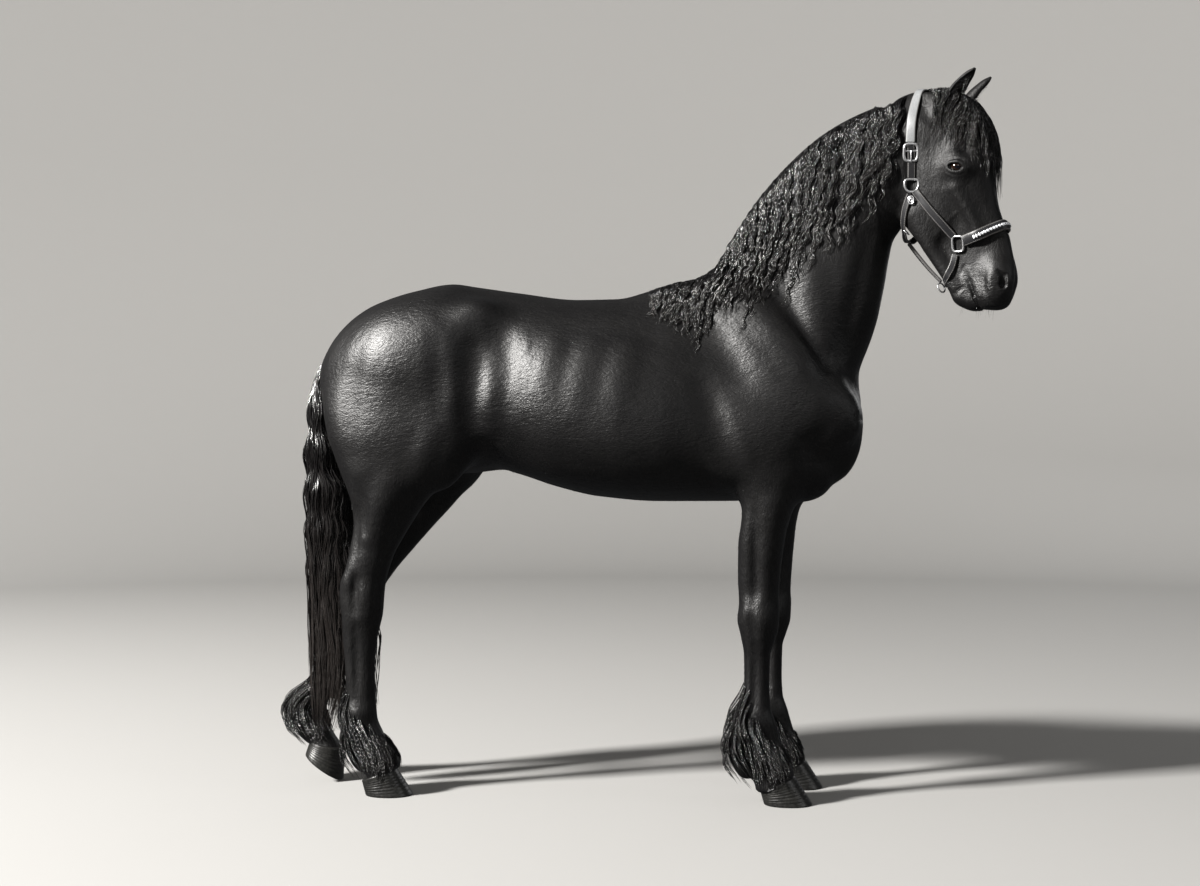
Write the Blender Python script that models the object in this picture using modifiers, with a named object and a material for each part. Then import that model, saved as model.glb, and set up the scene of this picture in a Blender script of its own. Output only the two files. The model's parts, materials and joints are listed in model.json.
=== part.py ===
"""Life-size standing model of a Friesian horse that wears a headcollar. Metres, Z up.

X runs along the body towards the head and Y to the horse's left, so the photographed side is -Y.
The origin is on the floor, under the middle of the model's box.

The body is a list of simple forms, which melt into one another like clay: balls, limbs and stacks
of slices between two outlines. They are remeshed into one skin, which is parted into its nodes by
thin straight cuts.
"""

import math
import random

import bmesh
import bpy
import numpy as np
from mathutils import Matrix, Vector

GAP = 0.0003                    # clearance between touching solids
SHIFT = Vector((0.03, 0.0, 0.0))  # from the outlines' own origin to the middle of the model

BODY_VOXEL = 0.016
HEAD_VOXEL = 0.006
BODY_FACES = 3400
HEAD_FACES = 1600

POLL = Vector((0.879, -0.08, 2.186))   # top of the skull, where the head hinges on the neck
HEAD_YAW = -25.0                # degrees, the head is turned towards the horse's right

EYE = (0.134, 0.0870, -0.240)   # in the head's own frame: forwards, sideways, up from the poll
EYE_RADIUS = 0.0215

HOOF_LENGTH = 0.150
HOOF_WIDTH = 0.134
CORONET_FRONT = (-0.058, 0.090)   # back from the toe and up, in the hoof's own side view
CORONET_HEEL = (-0.163, 0.046)
HOOVES = {                      # toe on the floor, and how far the heel is tipped up in degrees
    "foreleg_right": ((0.533, -0.142), 0.0),
    "foreleg_left": ((0.573, 0.135), 0.0),
    "hindleg_right": ((-0.724, -0.112), 0.0),
    "hindleg_left": ((-1.005, 0.108), 35.0),
}

HEAD_DETAILS = [                # places of the head that stay fine: x, y, z and radius in its frame
    (0.134, 0.105, -0.240, 0.050), (0.262, 0.050, -0.580, 0.040), (0.165, 0.040, -0.610, 0.050)]


# Frames

def head_frame():
    return Matrix.Translation(POLL) @ Matrix.Rotation(math.radians(HEAD_YAW), 4, "Z")


def hoof_frame(leg):
    (x, y), tip = HOOVES[leg]
    return Matrix.Translation((x, y, 0.0)) @ Matrix.Rotation(math.radians(tip), 4, "Y")


BODY = Matrix.Identity(4)
HEAD = head_frame()


def to_local(points, frame):
    inverse = np.array(frame.inverted())
    return points @ inverse[:3, :3].T + inverse[:3, 3]


def to_world(points, frame):
    matrix = np.array(frame)
    return np.asarray(points) @ matrix[:3, :3].T + matrix[:3, 3]


# Clay forms

def smooth_curve(points, count=160):
    """A dense table of the smooth curve, with no overshoot, through (place, value) points."""
    x, y = np.array(sorted(points), dtype=float).T
    step = np.diff(x)
    rise = np.diff(y) / step
    slope = np.zeros_like(y)
    slope[0], slope[-1] = rise[0], rise[-1]
    product = rise[1:] * rise[:-1]
    total = rise[1:] + rise[:-1]
    rising = product > 0
    slope[1:-1][rising] = 2 * product[rising] / total[rising]
    at = np.linspace(x[0], x[-1], count)
    i = np.clip(np.searchsorted(x, at) - 1, 0, len(x) - 2)
    t = (at - x[i]) / step[i]
    value = ((1 + 2 * t) * (1 - t) ** 2 * y[i] + t * (1 - t) ** 2 * step[i] * slope[i]
             + t * t * (3 - 2 * t) * y[i + 1] + t * t * (t - 1) * step[i] * slope[i + 1])
    return at, value


def as_curve(value):
    return smooth_curve(value) if isinstance(value, (list, tuple)) else (np.zeros(1), np.array([value]))


class Form:
    """A shape with a rough distance to its surface. Mirrored forms stand on both sides."""

    def __init__(self, frame, blend, mirror, carve):
        self.frame, self.blend, self.mirror, self.carve = frame, blend, mirror, carve

    def local(self, points):
        near = to_local(points, self.frame)
        if self.mirror:
            near[:, 1] = np.abs(near[:, 1])
        return near

    def rough_meshes(self):
        """The outer shape as point and face lists in world space, on both sides where mirrored."""
        points, faces = self.rough()
        sides = [(np.array(points), faces)]
        if self.mirror:
            other = np.array(points)
            other[:, 1] *= -1
            sides.append((other, [face[::-1] for face in faces]))
        return [(to_world(p, self.frame), f) for p, f in sides]


def tube_faces(rings, sides):
    faces = [tuple(range(sides))[::-1], tuple(range((rings - 1) * sides, rings * sides))]
    for ring in range(rings - 1):
        for side in range(sides):
            after = (side + 1) % sides
            faces.append((ring * sides + side, ring * sides + after,
                          (ring + 1) * sides + after, (ring + 1) * sides + side))
    return faces


class Ball(Form):
    """An ellipsoid at centre, with half sizes along its own axes, which tilt turns in degrees."""

    def __init__(self, centre, size, tilt=(0, 0, 0), frame=BODY, blend=0.03, mirror=True, carve=False):
        super().__init__(frame, blend, mirror, carve)
        self.centre, self.size = np.array(centre, float), np.array(size, float)
        turns = [Matrix.Rotation(math.radians(angle), 3, axis) for angle, axis in zip(tilt, "XYZ")]
        self.turn = np.array(turns[2] @ turns[1] @ turns[0])

    def distance(self, points):
        p = (self.local(points) - self.centre) @ self.turn
        near = np.linalg.norm(p / self.size, axis=1) + 1e-9
        slope = np.linalg.norm(p / self.size ** 2, axis=1) + 1e-9
        return near * (near - 1) / slope

    def rough(self, rings=14, sides=16):
        shape = bmesh.new()
        bmesh.ops.create_uvsphere(shape, u_segments=sides, v_segments=rings, radius=1.0)
        shape.verts.index_update()
        points = np.array([vert.co[:] for vert in shape.verts])
        faces = [tuple(vert.index for vert in face.verts) for face in shape.faces]
        shape.free()
        return (points * self.size) @ self.turn.T + self.centre, faces


class Limb(Form):
    """A rounded bar through (x, y, z, radius) points."""

    def __init__(self, stops, frame=BODY, blend=0.02, mirror=True, carve=False):
        super().__init__(frame, blend, mirror, carve)
        self.stops = np.array(stops, float)

    def distance(self, points):
        p = self.local(points)
        best = np.full(len(p), 1e3)
        for a, b in zip(self.stops[:-1], self.stops[1:]):
            along = b[:3] - a[:3]
            t = np.clip((p - a[:3]) @ along / (along @ along), 0, 1)
            radius = a[3] + (b[3] - a[3]) * t
            best = np.minimum(best, np.linalg.norm(p - a[:3] - t[:, None] * along, axis=1) - radius)
        return best

    def rough(self, sides=10):
        rings = []
        last = len(self.stops) - 1
        for index, stop in enumerate(self.stops):
            before, after = self.stops[max(index - 1, 0)], self.stops[min(index + 1, last)]
            along = Vector((after - before)[:3]).normalized()
            rings.append((Vector(stop[:3]), along, float(stop[3])))
        for end, way in ((0, -0.8), (-1, 0.8)):
            centre, along, radius = rings[end]
            cap = (centre + along * way * radius, along, radius / 2)
            rings.insert(0 if end == 0 else len(rings), cap)
        points = []
        for centre, along, radius in rings:
            side_way = along.orthogonal().normalized()
            up = along.cross(side_way)
            for side in range(sides):
                turn = math.tau * side / sides
                points.append(centre + (side_way * math.cos(turn) + up * math.sin(turn)) * radius)
        return np.array(points), tube_faces(len(rings), sides)


class Stack(Form):
    """Slices across a straight axis, each an oval between two outlines of the side view.

    low and high are (x, z) outlines, and the axis lies at angle degrees from +X in that view.
    width is the half width, side the sideways place of the middle, egg widens the high edge
    (or, below 0, the low one) and power squares the oval, each a number or a curve along the axis.
    """

    def __init__(self, low, high, width, side=0.0, egg=0.0, power=2.0, angle=0.0,
                 frame=BODY, blend=0.03, mirror=False, carve=False):
        super().__init__(frame, blend, mirror, carve)
        turn = math.radians(angle)
        self.axis = np.array([math.cos(turn), math.sin(turn)])
        self.across = np.array([-math.sin(turn), math.cos(turn)])
        self.low, self.high = ([(float(np.dot(p, self.axis)), float(np.dot(p, self.across))) for p in edge]
                               for edge in (low, high))
        self.start = max(min(self.low)[0], min(self.high)[0])
        self.end = min(max(self.low)[0], max(self.high)[0])
        self.edges = smooth_curve(self.low), smooth_curve(self.high)
        self.curves = [as_curve(value) for value in (width, side, egg, power)]

    def slice_at(self, s):
        (low_x, low_y), (high_x, high_y) = self.edges
        low, high = np.interp(s, low_x, low_y), np.interp(s, high_x, high_y)
        width, side, egg, power = (np.interp(s, x, y) for x, y in self.curves)
        return (low + high) / 2, np.maximum((high - low) / 2, 1e-3), width, side, egg, power

    def distance(self, points):
        p = self.local(points)
        flat = p[:, [0, 2]]
        s, t = flat @ self.axis, flat @ self.across
        middle, half, width, side, egg, power = self.slice_at(np.clip(s, self.start, self.end))
        v = (t - middle) / half
        wide = width * (1 + egg * np.clip(v, -1, 1))
        u = np.abs(p[:, 1] - side) / wide
        v = np.abs(v)
        reach = (u ** power + v ** power) ** (1 / power) + 1e-9
        slope = np.hypot((u / reach) ** (power - 1) / wide, (v / reach) ** (power - 1) / half)
        across = (reach - 1) / (slope + 1e-9)
        beyond = np.maximum(self.start - s, s - self.end)
        outside = np.hypot(np.maximum(across, 0), np.maximum(beyond, 0))
        return np.where(beyond > 0, outside, np.maximum(across, beyond))

    def rough(self, rings=48, sides=24):
        points = []
        for s in np.linspace(self.start, self.end, rings):
            middle, half, width, side, egg, power = (float(value) for value in self.slice_at(s))
            for index in range(sides):
                turn = math.tau * index / sides
                u, v = math.cos(turn), math.sin(turn)
                reach = (abs(u) ** power + abs(v) ** power) ** (-1 / power)
                u, v = u * reach, v * reach
                x, z = s * self.axis + (middle + v * half) * self.across
                points.append((x, side + u * width * (1 + egg * v), z))
        return np.array(points), [face[::-1] for face in tube_faces(rings, sides)]


def melt(a, b, blend):
    """The lower of two distances, rounded where they meet."""
    near = np.maximum(blend - np.abs(a - b), 0) / blend
    return np.minimum(a, b) - near * near * blend / 4


FORM_REACH = 0.10               # how far round itself a form bears on the skin
FAR = 0.5


def field(points, forms):
    """Distance from each point to the skin round all the forms, below 0 inside."""
    total = np.full(len(points), FAR)
    for form in forms:
        low, high = form.box
        near = np.all((points > low - FORM_REACH) & (points < high + FORM_REACH), axis=1)
        if not near.any():
            continue
        own = form.distance(points[near])
        if form.carve:
            total[near] = -melt(-total[near], own, form.blend)
        else:
            total[near] = melt(total[near], own, form.blend)
    return total


def slope_of(points, forms, step=0.001):
    """Distance and its gradient at each point."""
    here = field(points, forms)
    gradient = np.empty_like(points)
    for axis in range(3):
        moved = points.copy()
        moved[:, axis] += step
        gradient[:, axis] = (field(moved, forms) - here) / step
    return here, gradient


LEAST_SLOPE = 0.2


def settle(points, forms, rounds=4, most=0.02, depth=0.0):
    """Moves points onto the skin, or to depth outside it."""
    for _ in range(rounds):
        here, gradient = slope_of(points, forms)
        steep = np.maximum((gradient ** 2).sum(axis=1), LEAST_SLOPE)
        move = -(here - depth) / steep
        points = points + np.clip(move, -most, most)[:, None] * gradient
    return points


SPLINE_STEPS = 200


def spline_points(points, spacing):
    """Evenly spaced points on a smooth curve through the given ones."""
    points = np.asarray(points)
    reach = np.concatenate([[0], np.cumsum(np.linalg.norm(np.diff(points, axis=0), axis=1))])
    count = max(3, int(round(reach[-1] / spacing)) + 1)
    at = np.linspace(0, reach[-1], SPLINE_STEPS)
    slope = np.gradient(points, reach, axis=0)
    i = np.clip(np.searchsorted(reach, at) - 1, 0, len(reach) - 2)
    step = (reach[i + 1] - reach[i])[:, None]
    t = ((at - reach[i])[:, None]) / step
    smooth = ((1 + 2 * t) * (1 - t) ** 2 * points[i] + t * (1 - t) ** 2 * step * slope[i]
              + t * t * (3 - 2 * t) * points[i + 1] + t * t * (t - 1) * step * slope[i + 1])
    return smooth[np.linspace(0, SPLINE_STEPS - 1, count).round().astype(int)]


def pushed_out(points, forms, least):
    """Points with those that lie nearer to the skin than least, or inside it, moved out to least."""
    for _ in range(5):
        here, gradient = slope_of(points, forms)
        steep = np.maximum((gradient ** 2).sum(axis=1), LEAST_SLOPE)
        points = points + (np.clip(least - here, 0, 0.02) / steep)[:, None] * gradient
    return points


# Blender helpers

def new_object(name, points, faces):
    mesh = bpy.data.meshes.new(name)
    mesh.from_pydata([tuple(p) for p in points], [], [tuple(f) for f in faces])
    mesh.update()
    obj = bpy.data.objects.new(name, mesh)
    bpy.context.scene.collection.objects.link(obj)
    return obj


def points_of(mesh):
    points = np.empty(len(mesh.vertices) * 3, np.float32)
    mesh.vertices.foreach_get("co", points)
    return points.reshape(-1, 3).astype(float)


def put_points(mesh, points):
    mesh.vertices.foreach_set("co", points.astype(np.float32).ravel())
    mesh.update()


def mesh_normals(obj):
    """Points of the object's mesh and the normal at each."""
    normals = np.empty(len(obj.data.vertices) * 3, np.float32)
    obj.data.vertex_normals.foreach_get("vector", normals)
    return points_of(obj.data), normals.reshape(-1, 3).astype(float)


def apply_modifiers(obj):
    """Replaces the object's mesh by the evaluated one."""
    bpy.context.view_layer.update()
    graph = bpy.context.evaluated_depsgraph_get()
    mesh = bpy.data.meshes.new_from_object(obj.evaluated_get(graph))
    obj.modifiers.clear()
    obj.data = mesh
    return obj


def combine(obj, other, operation):
    """Cuts obj by the other one, or joins it, and removes the other."""
    cut = obj.modifiers.new("Combine", "BOOLEAN")
    cut.object, cut.operation, cut.solver = other, operation, "EXACT"
    apply_modifiers(obj)
    bpy.data.objects.remove(other)
    return obj


def keep_largest(obj):
    """Drops every loose shell but the one with the most faces, and splits those into triangles."""
    shape = bmesh.new()
    shape.from_mesh(obj.data)
    bmesh.ops.remove_doubles(shape, verts=shape.verts, dist=1e-6)
    shells = []
    seen = set()
    for start in shape.faces:
        if start in seen:
            continue
        shell, waiting = [], [start]
        seen.add(start)
        while waiting:
            face = waiting.pop()
            shell.append(face)
            for edge in face.edges:
                if len(edge.link_faces) != 2:
                    continue
                for other in edge.link_faces:
                    if other not in seen:
                        seen.add(other)
                        waiting.append(other)
        shells.append(shell)
    if len(shells) > 1:
        best = max(shells, key=len)
        extra = [face for shell in shells if shell is not best for face in shell]
        bmesh.ops.delete(shape, geom=extra, context="FACES")
        loose = [v for v in shape.verts if not v.link_faces]
        bmesh.ops.delete(shape, geom=loose, context="VERTS")
    bmesh.ops.triangulate(shape, faces=shape.faces)
    shape.to_mesh(obj.data)
    shape.free()
    return obj


def outward(obj):
    """Turns a closed mesh's faces outwards, and splits them into triangles so that each is flat."""
    shape = bmesh.new()
    shape.from_mesh(obj.data)
    bmesh.ops.recalc_face_normals(shape, faces=shape.faces)
    bmesh.ops.triangulate(shape, faces=shape.faces)
    shape.to_mesh(obj.data)
    shape.free()
    return obj


def object_from(name, shape):
    """An object that takes over the bmesh."""
    mesh = bpy.data.meshes.new(name)
    shape.to_mesh(mesh)
    shape.free()
    obj = bpy.data.objects.new(name, mesh)
    bpy.context.scene.collection.objects.link(obj)
    return obj


def box_object(name, frame, low, high):
    low, high = Vector(low), Vector(high)
    place = frame @ Matrix.Translation((low + high) / 2) @ Matrix.Diagonal(high - low).to_4x4()
    shape = bmesh.new()
    bmesh.ops.create_cube(shape, size=1.0, matrix=place)
    return object_from(name, shape)


def skin_object(name, rough_forms, forms, voxel, faces, fine=()):
    """One closed skin round the rough forms, settled on the blended skin of all the forms.

    fine lists (point, radius) places that keep more of their faces.
    """
    points, joined = [], []
    for form in rough_forms:
        if form.carve:
            continue
        for own, own_faces in form.rough_meshes():
            start = len(points)
            points.extend(own)
            joined.extend([tuple(start + i for i in face) for face in own_faces])
    obj = new_object(name, points, joined)
    remesh = obj.modifiers.new("Remesh", "REMESH")
    remesh.mode, remesh.voxel_size, remesh.adaptivity = "VOXEL", voxel, 0.0
    apply_modifiers(obj)
    for most in (0.04, 0.02):
        put_points(obj.data, settle(points_of(obj.data), forms, most=most))
        ease = obj.modifiers.new("Ease", "SMOOTH")
        ease.factor, ease.iterations = 0.5, 3
        apply_modifiers(obj)
    put_points(obj.data, settle(points_of(obj.data), forms, rounds=2))
    fewer = obj.modifiers.new("Fewer", "DECIMATE")
    fewer.ratio = faces / (2 * len(obj.data.polygons))
    if fine:
        plain = obj.vertex_groups.new(name="plain")
        points = points_of(obj.data)
        near = np.zeros(len(points))
        for centre, radius in fine:
            near = np.maximum(near, 1 - np.linalg.norm(points - centre, axis=1) / radius)
        for index in np.nonzero(near > 0)[0]:
            plain.add([int(index)], float(near[index]), "REPLACE")
        fewer.vertex_group, fewer.invert_vertex_group, fewer.vertex_group_factor = "plain", True, 3.0
    apply_modifiers(obj)
    obj.vertex_groups.clear()
    return keep_largest(obj)


# The horse's own forms, outlines as (x, z) in the side view

BACK = [(-1.046, 1.330), (-1.030, 1.385), (-0.988, 1.460), (-0.922, 1.525), (-0.856, 1.563), (-0.724, 1.604),
        (-0.610, 1.624), (-0.528, 1.613), (-0.398, 1.594), (-0.204, 1.571), (-0.076, 1.573), (0.036, 1.594),
        (0.120, 1.610), (0.230, 1.600), (0.400, 1.520), (0.540, 1.380), (0.620, 1.270), (0.655, 1.190)]
BELLY = [(-1.046, 1.320), (-1.000, 1.150), (-0.900, 1.020), (-0.750, 0.990), (-0.620, 1.010), (-0.540, 1.022),
         (-0.470, 1.032), (-0.400, 1.015), (-0.269, 0.973), (-0.140, 0.944), (0.052, 0.929), (0.269, 0.930),
         (0.450, 0.938), (0.535, 0.962), (0.590, 1.005), (0.630, 1.070), (0.655, 1.180)]
TRUNK_WIDTH = [(-1.046, 0.030), (-1.020, 0.120), (-0.960, 0.190), (-0.880, 0.240), (-0.750, 0.280),
               (-0.600, 0.287), (-0.480, 0.275), (-0.380, 0.285), (-0.240, 0.315), (-0.080, 0.322),
               (0.060, 0.300), (0.200, 0.262), (0.350, 0.235), (0.480, 0.210), (0.580, 0.160),
               (0.630, 0.100), (0.655, 0.040)]
TRUNK_EGG = [(-1.046, 0.0), (-0.700, 0.0), (-0.400, -0.10), (-0.100, -0.20), (0.100, -0.38), (0.300, -0.42),
             (0.655, -0.10)]

CREST = [(-0.060, 1.460), (0.030, 1.550), (0.116, 1.594), (0.188, 1.629), (0.240, 1.687), (0.284, 1.764),
         (0.347, 1.859), (0.409, 1.935), (0.471, 1.999), (0.532, 2.052), (0.593, 2.094), (0.654, 2.126),
         (0.715, 2.152), (0.776, 2.170), (0.836, 2.180)]
THROAT = [(0.480, 1.110), (0.560, 1.150), (0.655, 1.250), (0.687, 1.357), (0.717, 1.435), (0.737, 1.500),
          (0.748, 1.553), (0.760, 1.615), (0.772, 1.690), (0.790, 1.755), (0.830, 1.810), (0.900, 1.900),
          (0.960, 2.010)]
NECK_ANGLE = 56.5
NECK_WIDTH = [(1.18, 0.130), (1.25, 0.150), (1.41, 0.160), (1.60, 0.138), (1.80, 0.112), (1.90, 0.102),
              (2.00, 0.096), (2.10, 0.090), (2.25, 0.080)]
NECK_SIDE = [(1.25, 0.0), (1.50, 0.0), (1.70, -0.020), (1.90, -0.048), (2.10, -0.072), (2.25, -0.082)]

FACE = [(0.040, 0.012), (0.105, -0.006), (0.155, -0.050), (0.190, -0.105), (0.210, -0.160), (0.217, -0.215),
        (0.221, -0.280), (0.230, -0.345), (0.247, -0.400), (0.268, -0.455), (0.280, -0.520), (0.279, -0.580),
        (0.262, -0.625), (0.232, -0.652), (0.195, -0.664)]
JAW = [(-0.020, -0.010), (-0.030, -0.080), (-0.036, -0.180), (-0.030, -0.300), (0.000, -0.400), (0.045, -0.480),
       (0.085, -0.550), (0.105, -0.600), (0.130, -0.638), (0.180, -0.660)]
FACE_ANGLE = -78.0
FACE_WIDTH = [(0.00, 0.058), (0.08, 0.074), (0.16, 0.087), (0.24, 0.095), (0.30, 0.089), (0.36, 0.076),
              (0.44, 0.060), (0.52, 0.049), (0.60, 0.047), (0.66, 0.043), (0.70, 0.028)]


def upright(curve):
    """A curve keyed by height, as a leg's slices run downwards."""
    return [(-z, value) for z, value in curve]


FORELEG_REAR = [(0.330, 1.100), (0.322, 1.000), (0.325, 0.930), (0.312, 0.860), (0.304, 0.800),
                (0.303, 0.700), (0.306, 0.620), (0.301, 0.570), (0.311, 0.520), (0.321, 0.460),
                (0.322, 0.400), (0.316, 0.320), (0.300, 0.268), (0.298, 0.245), (0.318, 0.200),
                (0.338, 0.155), (0.350, 0.110), (0.358, 0.040)]
FORELEG_FRONT = [(0.500, 1.100), (0.490, 1.000), (0.462, 0.920), (0.447, 0.815), (0.433, 0.722),
                 (0.426, 0.640), (0.430, 0.590), (0.428, 0.545), (0.415, 0.500), (0.402, 0.455),
                 (0.400, 0.360), (0.403, 0.300), (0.417, 0.255), (0.427, 0.220), (0.441, 0.175),
                 (0.458, 0.135), (0.474, 0.100), (0.480, 0.040)]
FORELEG_SLIP = [(1.10, 0.3), (0.90, 0.8), (0.70, 1.0), (0.05, 1.0)]  # height, share of a step forward


def foreleg(forward, side):
    """One foreleg from the elbow to the coronet, standing forward of the right one by forward."""
    heights, shares = np.array(sorted(FORELEG_SLIP)).T

    def edge(points):
        return [(x + forward * float(np.interp(z, heights, shares)), z) for x, z in points]

    rear, front = edge(FORELEG_REAR), edge(FORELEG_FRONT)
    width = upright([(1.10, 0.060), (1.00, 0.074), (0.90, 0.070), (0.80, 0.058), (0.70, 0.047), (0.63, 0.046),
                     (0.565, 0.053), (0.50, 0.044), (0.45, 0.035), (0.36, 0.032), (0.30, 0.036), (0.25, 0.044),
                     (0.19, 0.037), (0.14, 0.045), (0.09, 0.057), (0.04, 0.060)])
    way = -1 if side < 0 else 1
    place = upright([(1.10, way * 0.165), (0.90, way * 0.160), (0.55, (way * 0.148 + side) / 2),
                     (0.25, side), (0.04, side)])
    return [
        Stack(rear, front, width, place, power=2.2, angle=-90, blend=0.05),
        Ball((0.392 + forward * 0.6, side * 1.10, 0.975), (0.072, 0.072, 0.120), (0, -4, 0),
             mirror=False, blend=0.05),
    ]


def hindleg(rear, front, side):
    """One hind leg from the stifle to the coronet, between its rear and front edges."""
    way = -1 if side < 0 else 1
    width = upright([(1.36, 0.060), (1.26, 0.105), (1.15, 0.122), (1.05, 0.108), (0.95, 0.086), (0.84, 0.064),
                     (0.745, 0.050), (0.65, 0.049), (0.58, 0.048), (0.50, 0.037), (0.40, 0.033), (0.31, 0.036),
                     (0.255, 0.045), (0.19, 0.037), (0.14, 0.045), (0.09, 0.055), (0.04, 0.058)])
    place = upright([(1.30, way * 0.150), (1.05, way * 0.165), (0.84, way * 0.158), (0.65, way * 0.150),
                     (0.40, (side + way * 0.150) / 2), (0.20, side), (0.04, side)])
    return [Stack(rear, front, width, place, power=2.2, angle=-90, blend=0.05)]


STANDING_REAR = [(-0.900, 1.360), (-0.975, 1.270), (-0.988, 1.210), (-0.980, 1.150), (-0.953, 1.070),
                 (-0.925, 0.980), (-0.906, 0.910), (-0.902, 0.858), (-0.912, 0.790), (-0.930, 0.720),
                 (-0.949, 0.665), (-0.951, 0.630), (-0.945, 0.570), (-0.943, 0.500), (-0.938, 0.420),
                 (-0.936, 0.340), (-0.941, 0.272), (-0.938, 0.245), (-0.910, 0.195), (-0.884, 0.150),
                 (-0.874, 0.110), (-0.868, 0.040)]
STANDING_FRONT = [(-0.680, 1.360), (-0.570, 1.250), (-0.515, 1.160), (-0.520, 1.090), (-0.590, 1.010),
                  (-0.660, 0.945), (-0.733, 0.840), (-0.784, 0.745), (-0.806, 0.660), (-0.814, 0.580),
                  (-0.834, 0.490), (-0.843, 0.400), (-0.843, 0.310), (-0.840, 0.245), (-0.825, 0.205),
                  (-0.800, 0.160), (-0.774, 0.120), (-0.766, 0.100), (-0.766, 0.040)]
RESTING_REAR = [(-0.900, 1.360), (-0.975, 1.270), (-0.988, 1.210), (-0.985, 1.150), (-0.967, 1.070),
                (-0.948, 0.980), (-0.942, 0.900), (-0.952, 0.840), (-0.972, 0.770), (-1.002, 0.700),
                (-1.024, 0.655), (-1.030, 0.620), (-1.026, 0.575), (-1.032, 0.520), (-1.048, 0.460),
                (-1.072, 0.390), (-1.105, 0.325), (-1.150, 0.280), (-1.166, 0.250), (-1.160, 0.210),
                (-1.140, 0.170), (-1.122, 0.135), (-1.110, 0.080)]
RESTING_FRONT = [(-0.680, 1.360), (-0.570, 1.250), (-0.515, 1.160), (-0.520, 1.090), (-0.575, 1.010),
                 (-0.625, 0.935), (-0.715, 0.835), (-0.785, 0.755), (-0.840, 0.690), (-0.880, 0.630),
                 (-0.905, 0.570), (-0.928, 0.510), (-0.955, 0.450), (-0.990, 0.380), (-1.028, 0.310),
                 (-1.054, 0.265), (-1.062, 0.235), (-1.056, 0.195), (-1.034, 0.150), (-1.008, 0.110),
                 (-1.000, 0.080)]

TUFT_SIZE = (0.034, 0.040, 0.075)
TUFTS = {                       # the short hair under the locks: back from the toe and up
    "foreleg_right": (-0.222, 0.150),
    "foreleg_left": (-0.222, 0.150),
    "hindleg_right": (-0.180, 0.145),
    "hindleg_left": (-0.138, 0.210),
}


def body_forms():
    trunk = Stack(BELLY, BACK, TRUNK_WIDTH, egg=TRUNK_EGG, power=2.15, blend=0.03)
    neck = Stack(THROAT, CREST, NECK_WIDTH, NECK_SIDE, egg=-0.38, angle=NECK_ANGLE, blend=0.09)
    quarters = [
        Ball((-0.720, 0.130, 1.385), (0.225, 0.140, 0.155), (0, -20, 0), blend=0.08),
        Ball((-0.895, 0.115, 1.190), (0.095, 0.090, 0.230), (0, -7, 0), blend=0.05),
        Ball((-0.600, 0.190, 1.150), (0.085, 0.070, 0.180), (0, 8, 0), blend=0.06),
        Ball((-0.500, 0.208, 1.500), (0.055, 0.040, 0.050), blend=0.08),
        Ball((-0.452, 0.335, 1.435), (0.058, 0.050, 0.120), (0, 12, 0), blend=0.09, carve=True),
    ]
    shoulder = [
        Ball((0.390, 0.150, 1.370), (0.105, 0.070, 0.250), (16, -33, 0), blend=0.10),
        Ball((0.345, 0.190, 1.130), (0.140, 0.075, 0.140), (0, -20, 0), blend=0.06),
        Ball((0.575, 0.145, 1.200), (0.100, 0.080, 0.120), (0, -20, 0), blend=0.06),
        Ball((0.480, 0.110, 1.030), (0.120, 0.095, 0.095), (0, 18, 0), blend=0.05),
        Ball((0.600, 0.080, 1.140), (0.087, 0.078, 0.150), (0, 6, 0), blend=0.03),
        Ball((0.590, 0.0, 1.220), (0.095, 0.090, 0.130), (0, -10, 0), mirror=False, blend=0.05),
    ]
    forms = [trunk, neck] + quarters + shoulder
    forms += foreleg(0.0, HOOVES["foreleg_right"][0][1])
    forms += foreleg(HOOVES["foreleg_left"][0][0] - HOOVES["foreleg_right"][0][0], HOOVES["foreleg_left"][0][1])
    forms += hindleg(STANDING_REAR, STANDING_FRONT, HOOVES["hindleg_right"][0][1])
    forms += hindleg(RESTING_REAR, RESTING_FRONT, HOOVES["hindleg_left"][0][1])
    forms += [Ball((-0.545, 0.0, 1.092), (0.100, 0.045, 0.050), (0, 14, 0), mirror=False, blend=0.04)]
    for leg, ((x, y), _) in HOOVES.items():
        back, height = TUFTS[leg]
        forms.append(Ball((x + back, y, height), TUFT_SIZE, (0, -14, 0), mirror=False, blend=0.04))
    return forms


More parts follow.
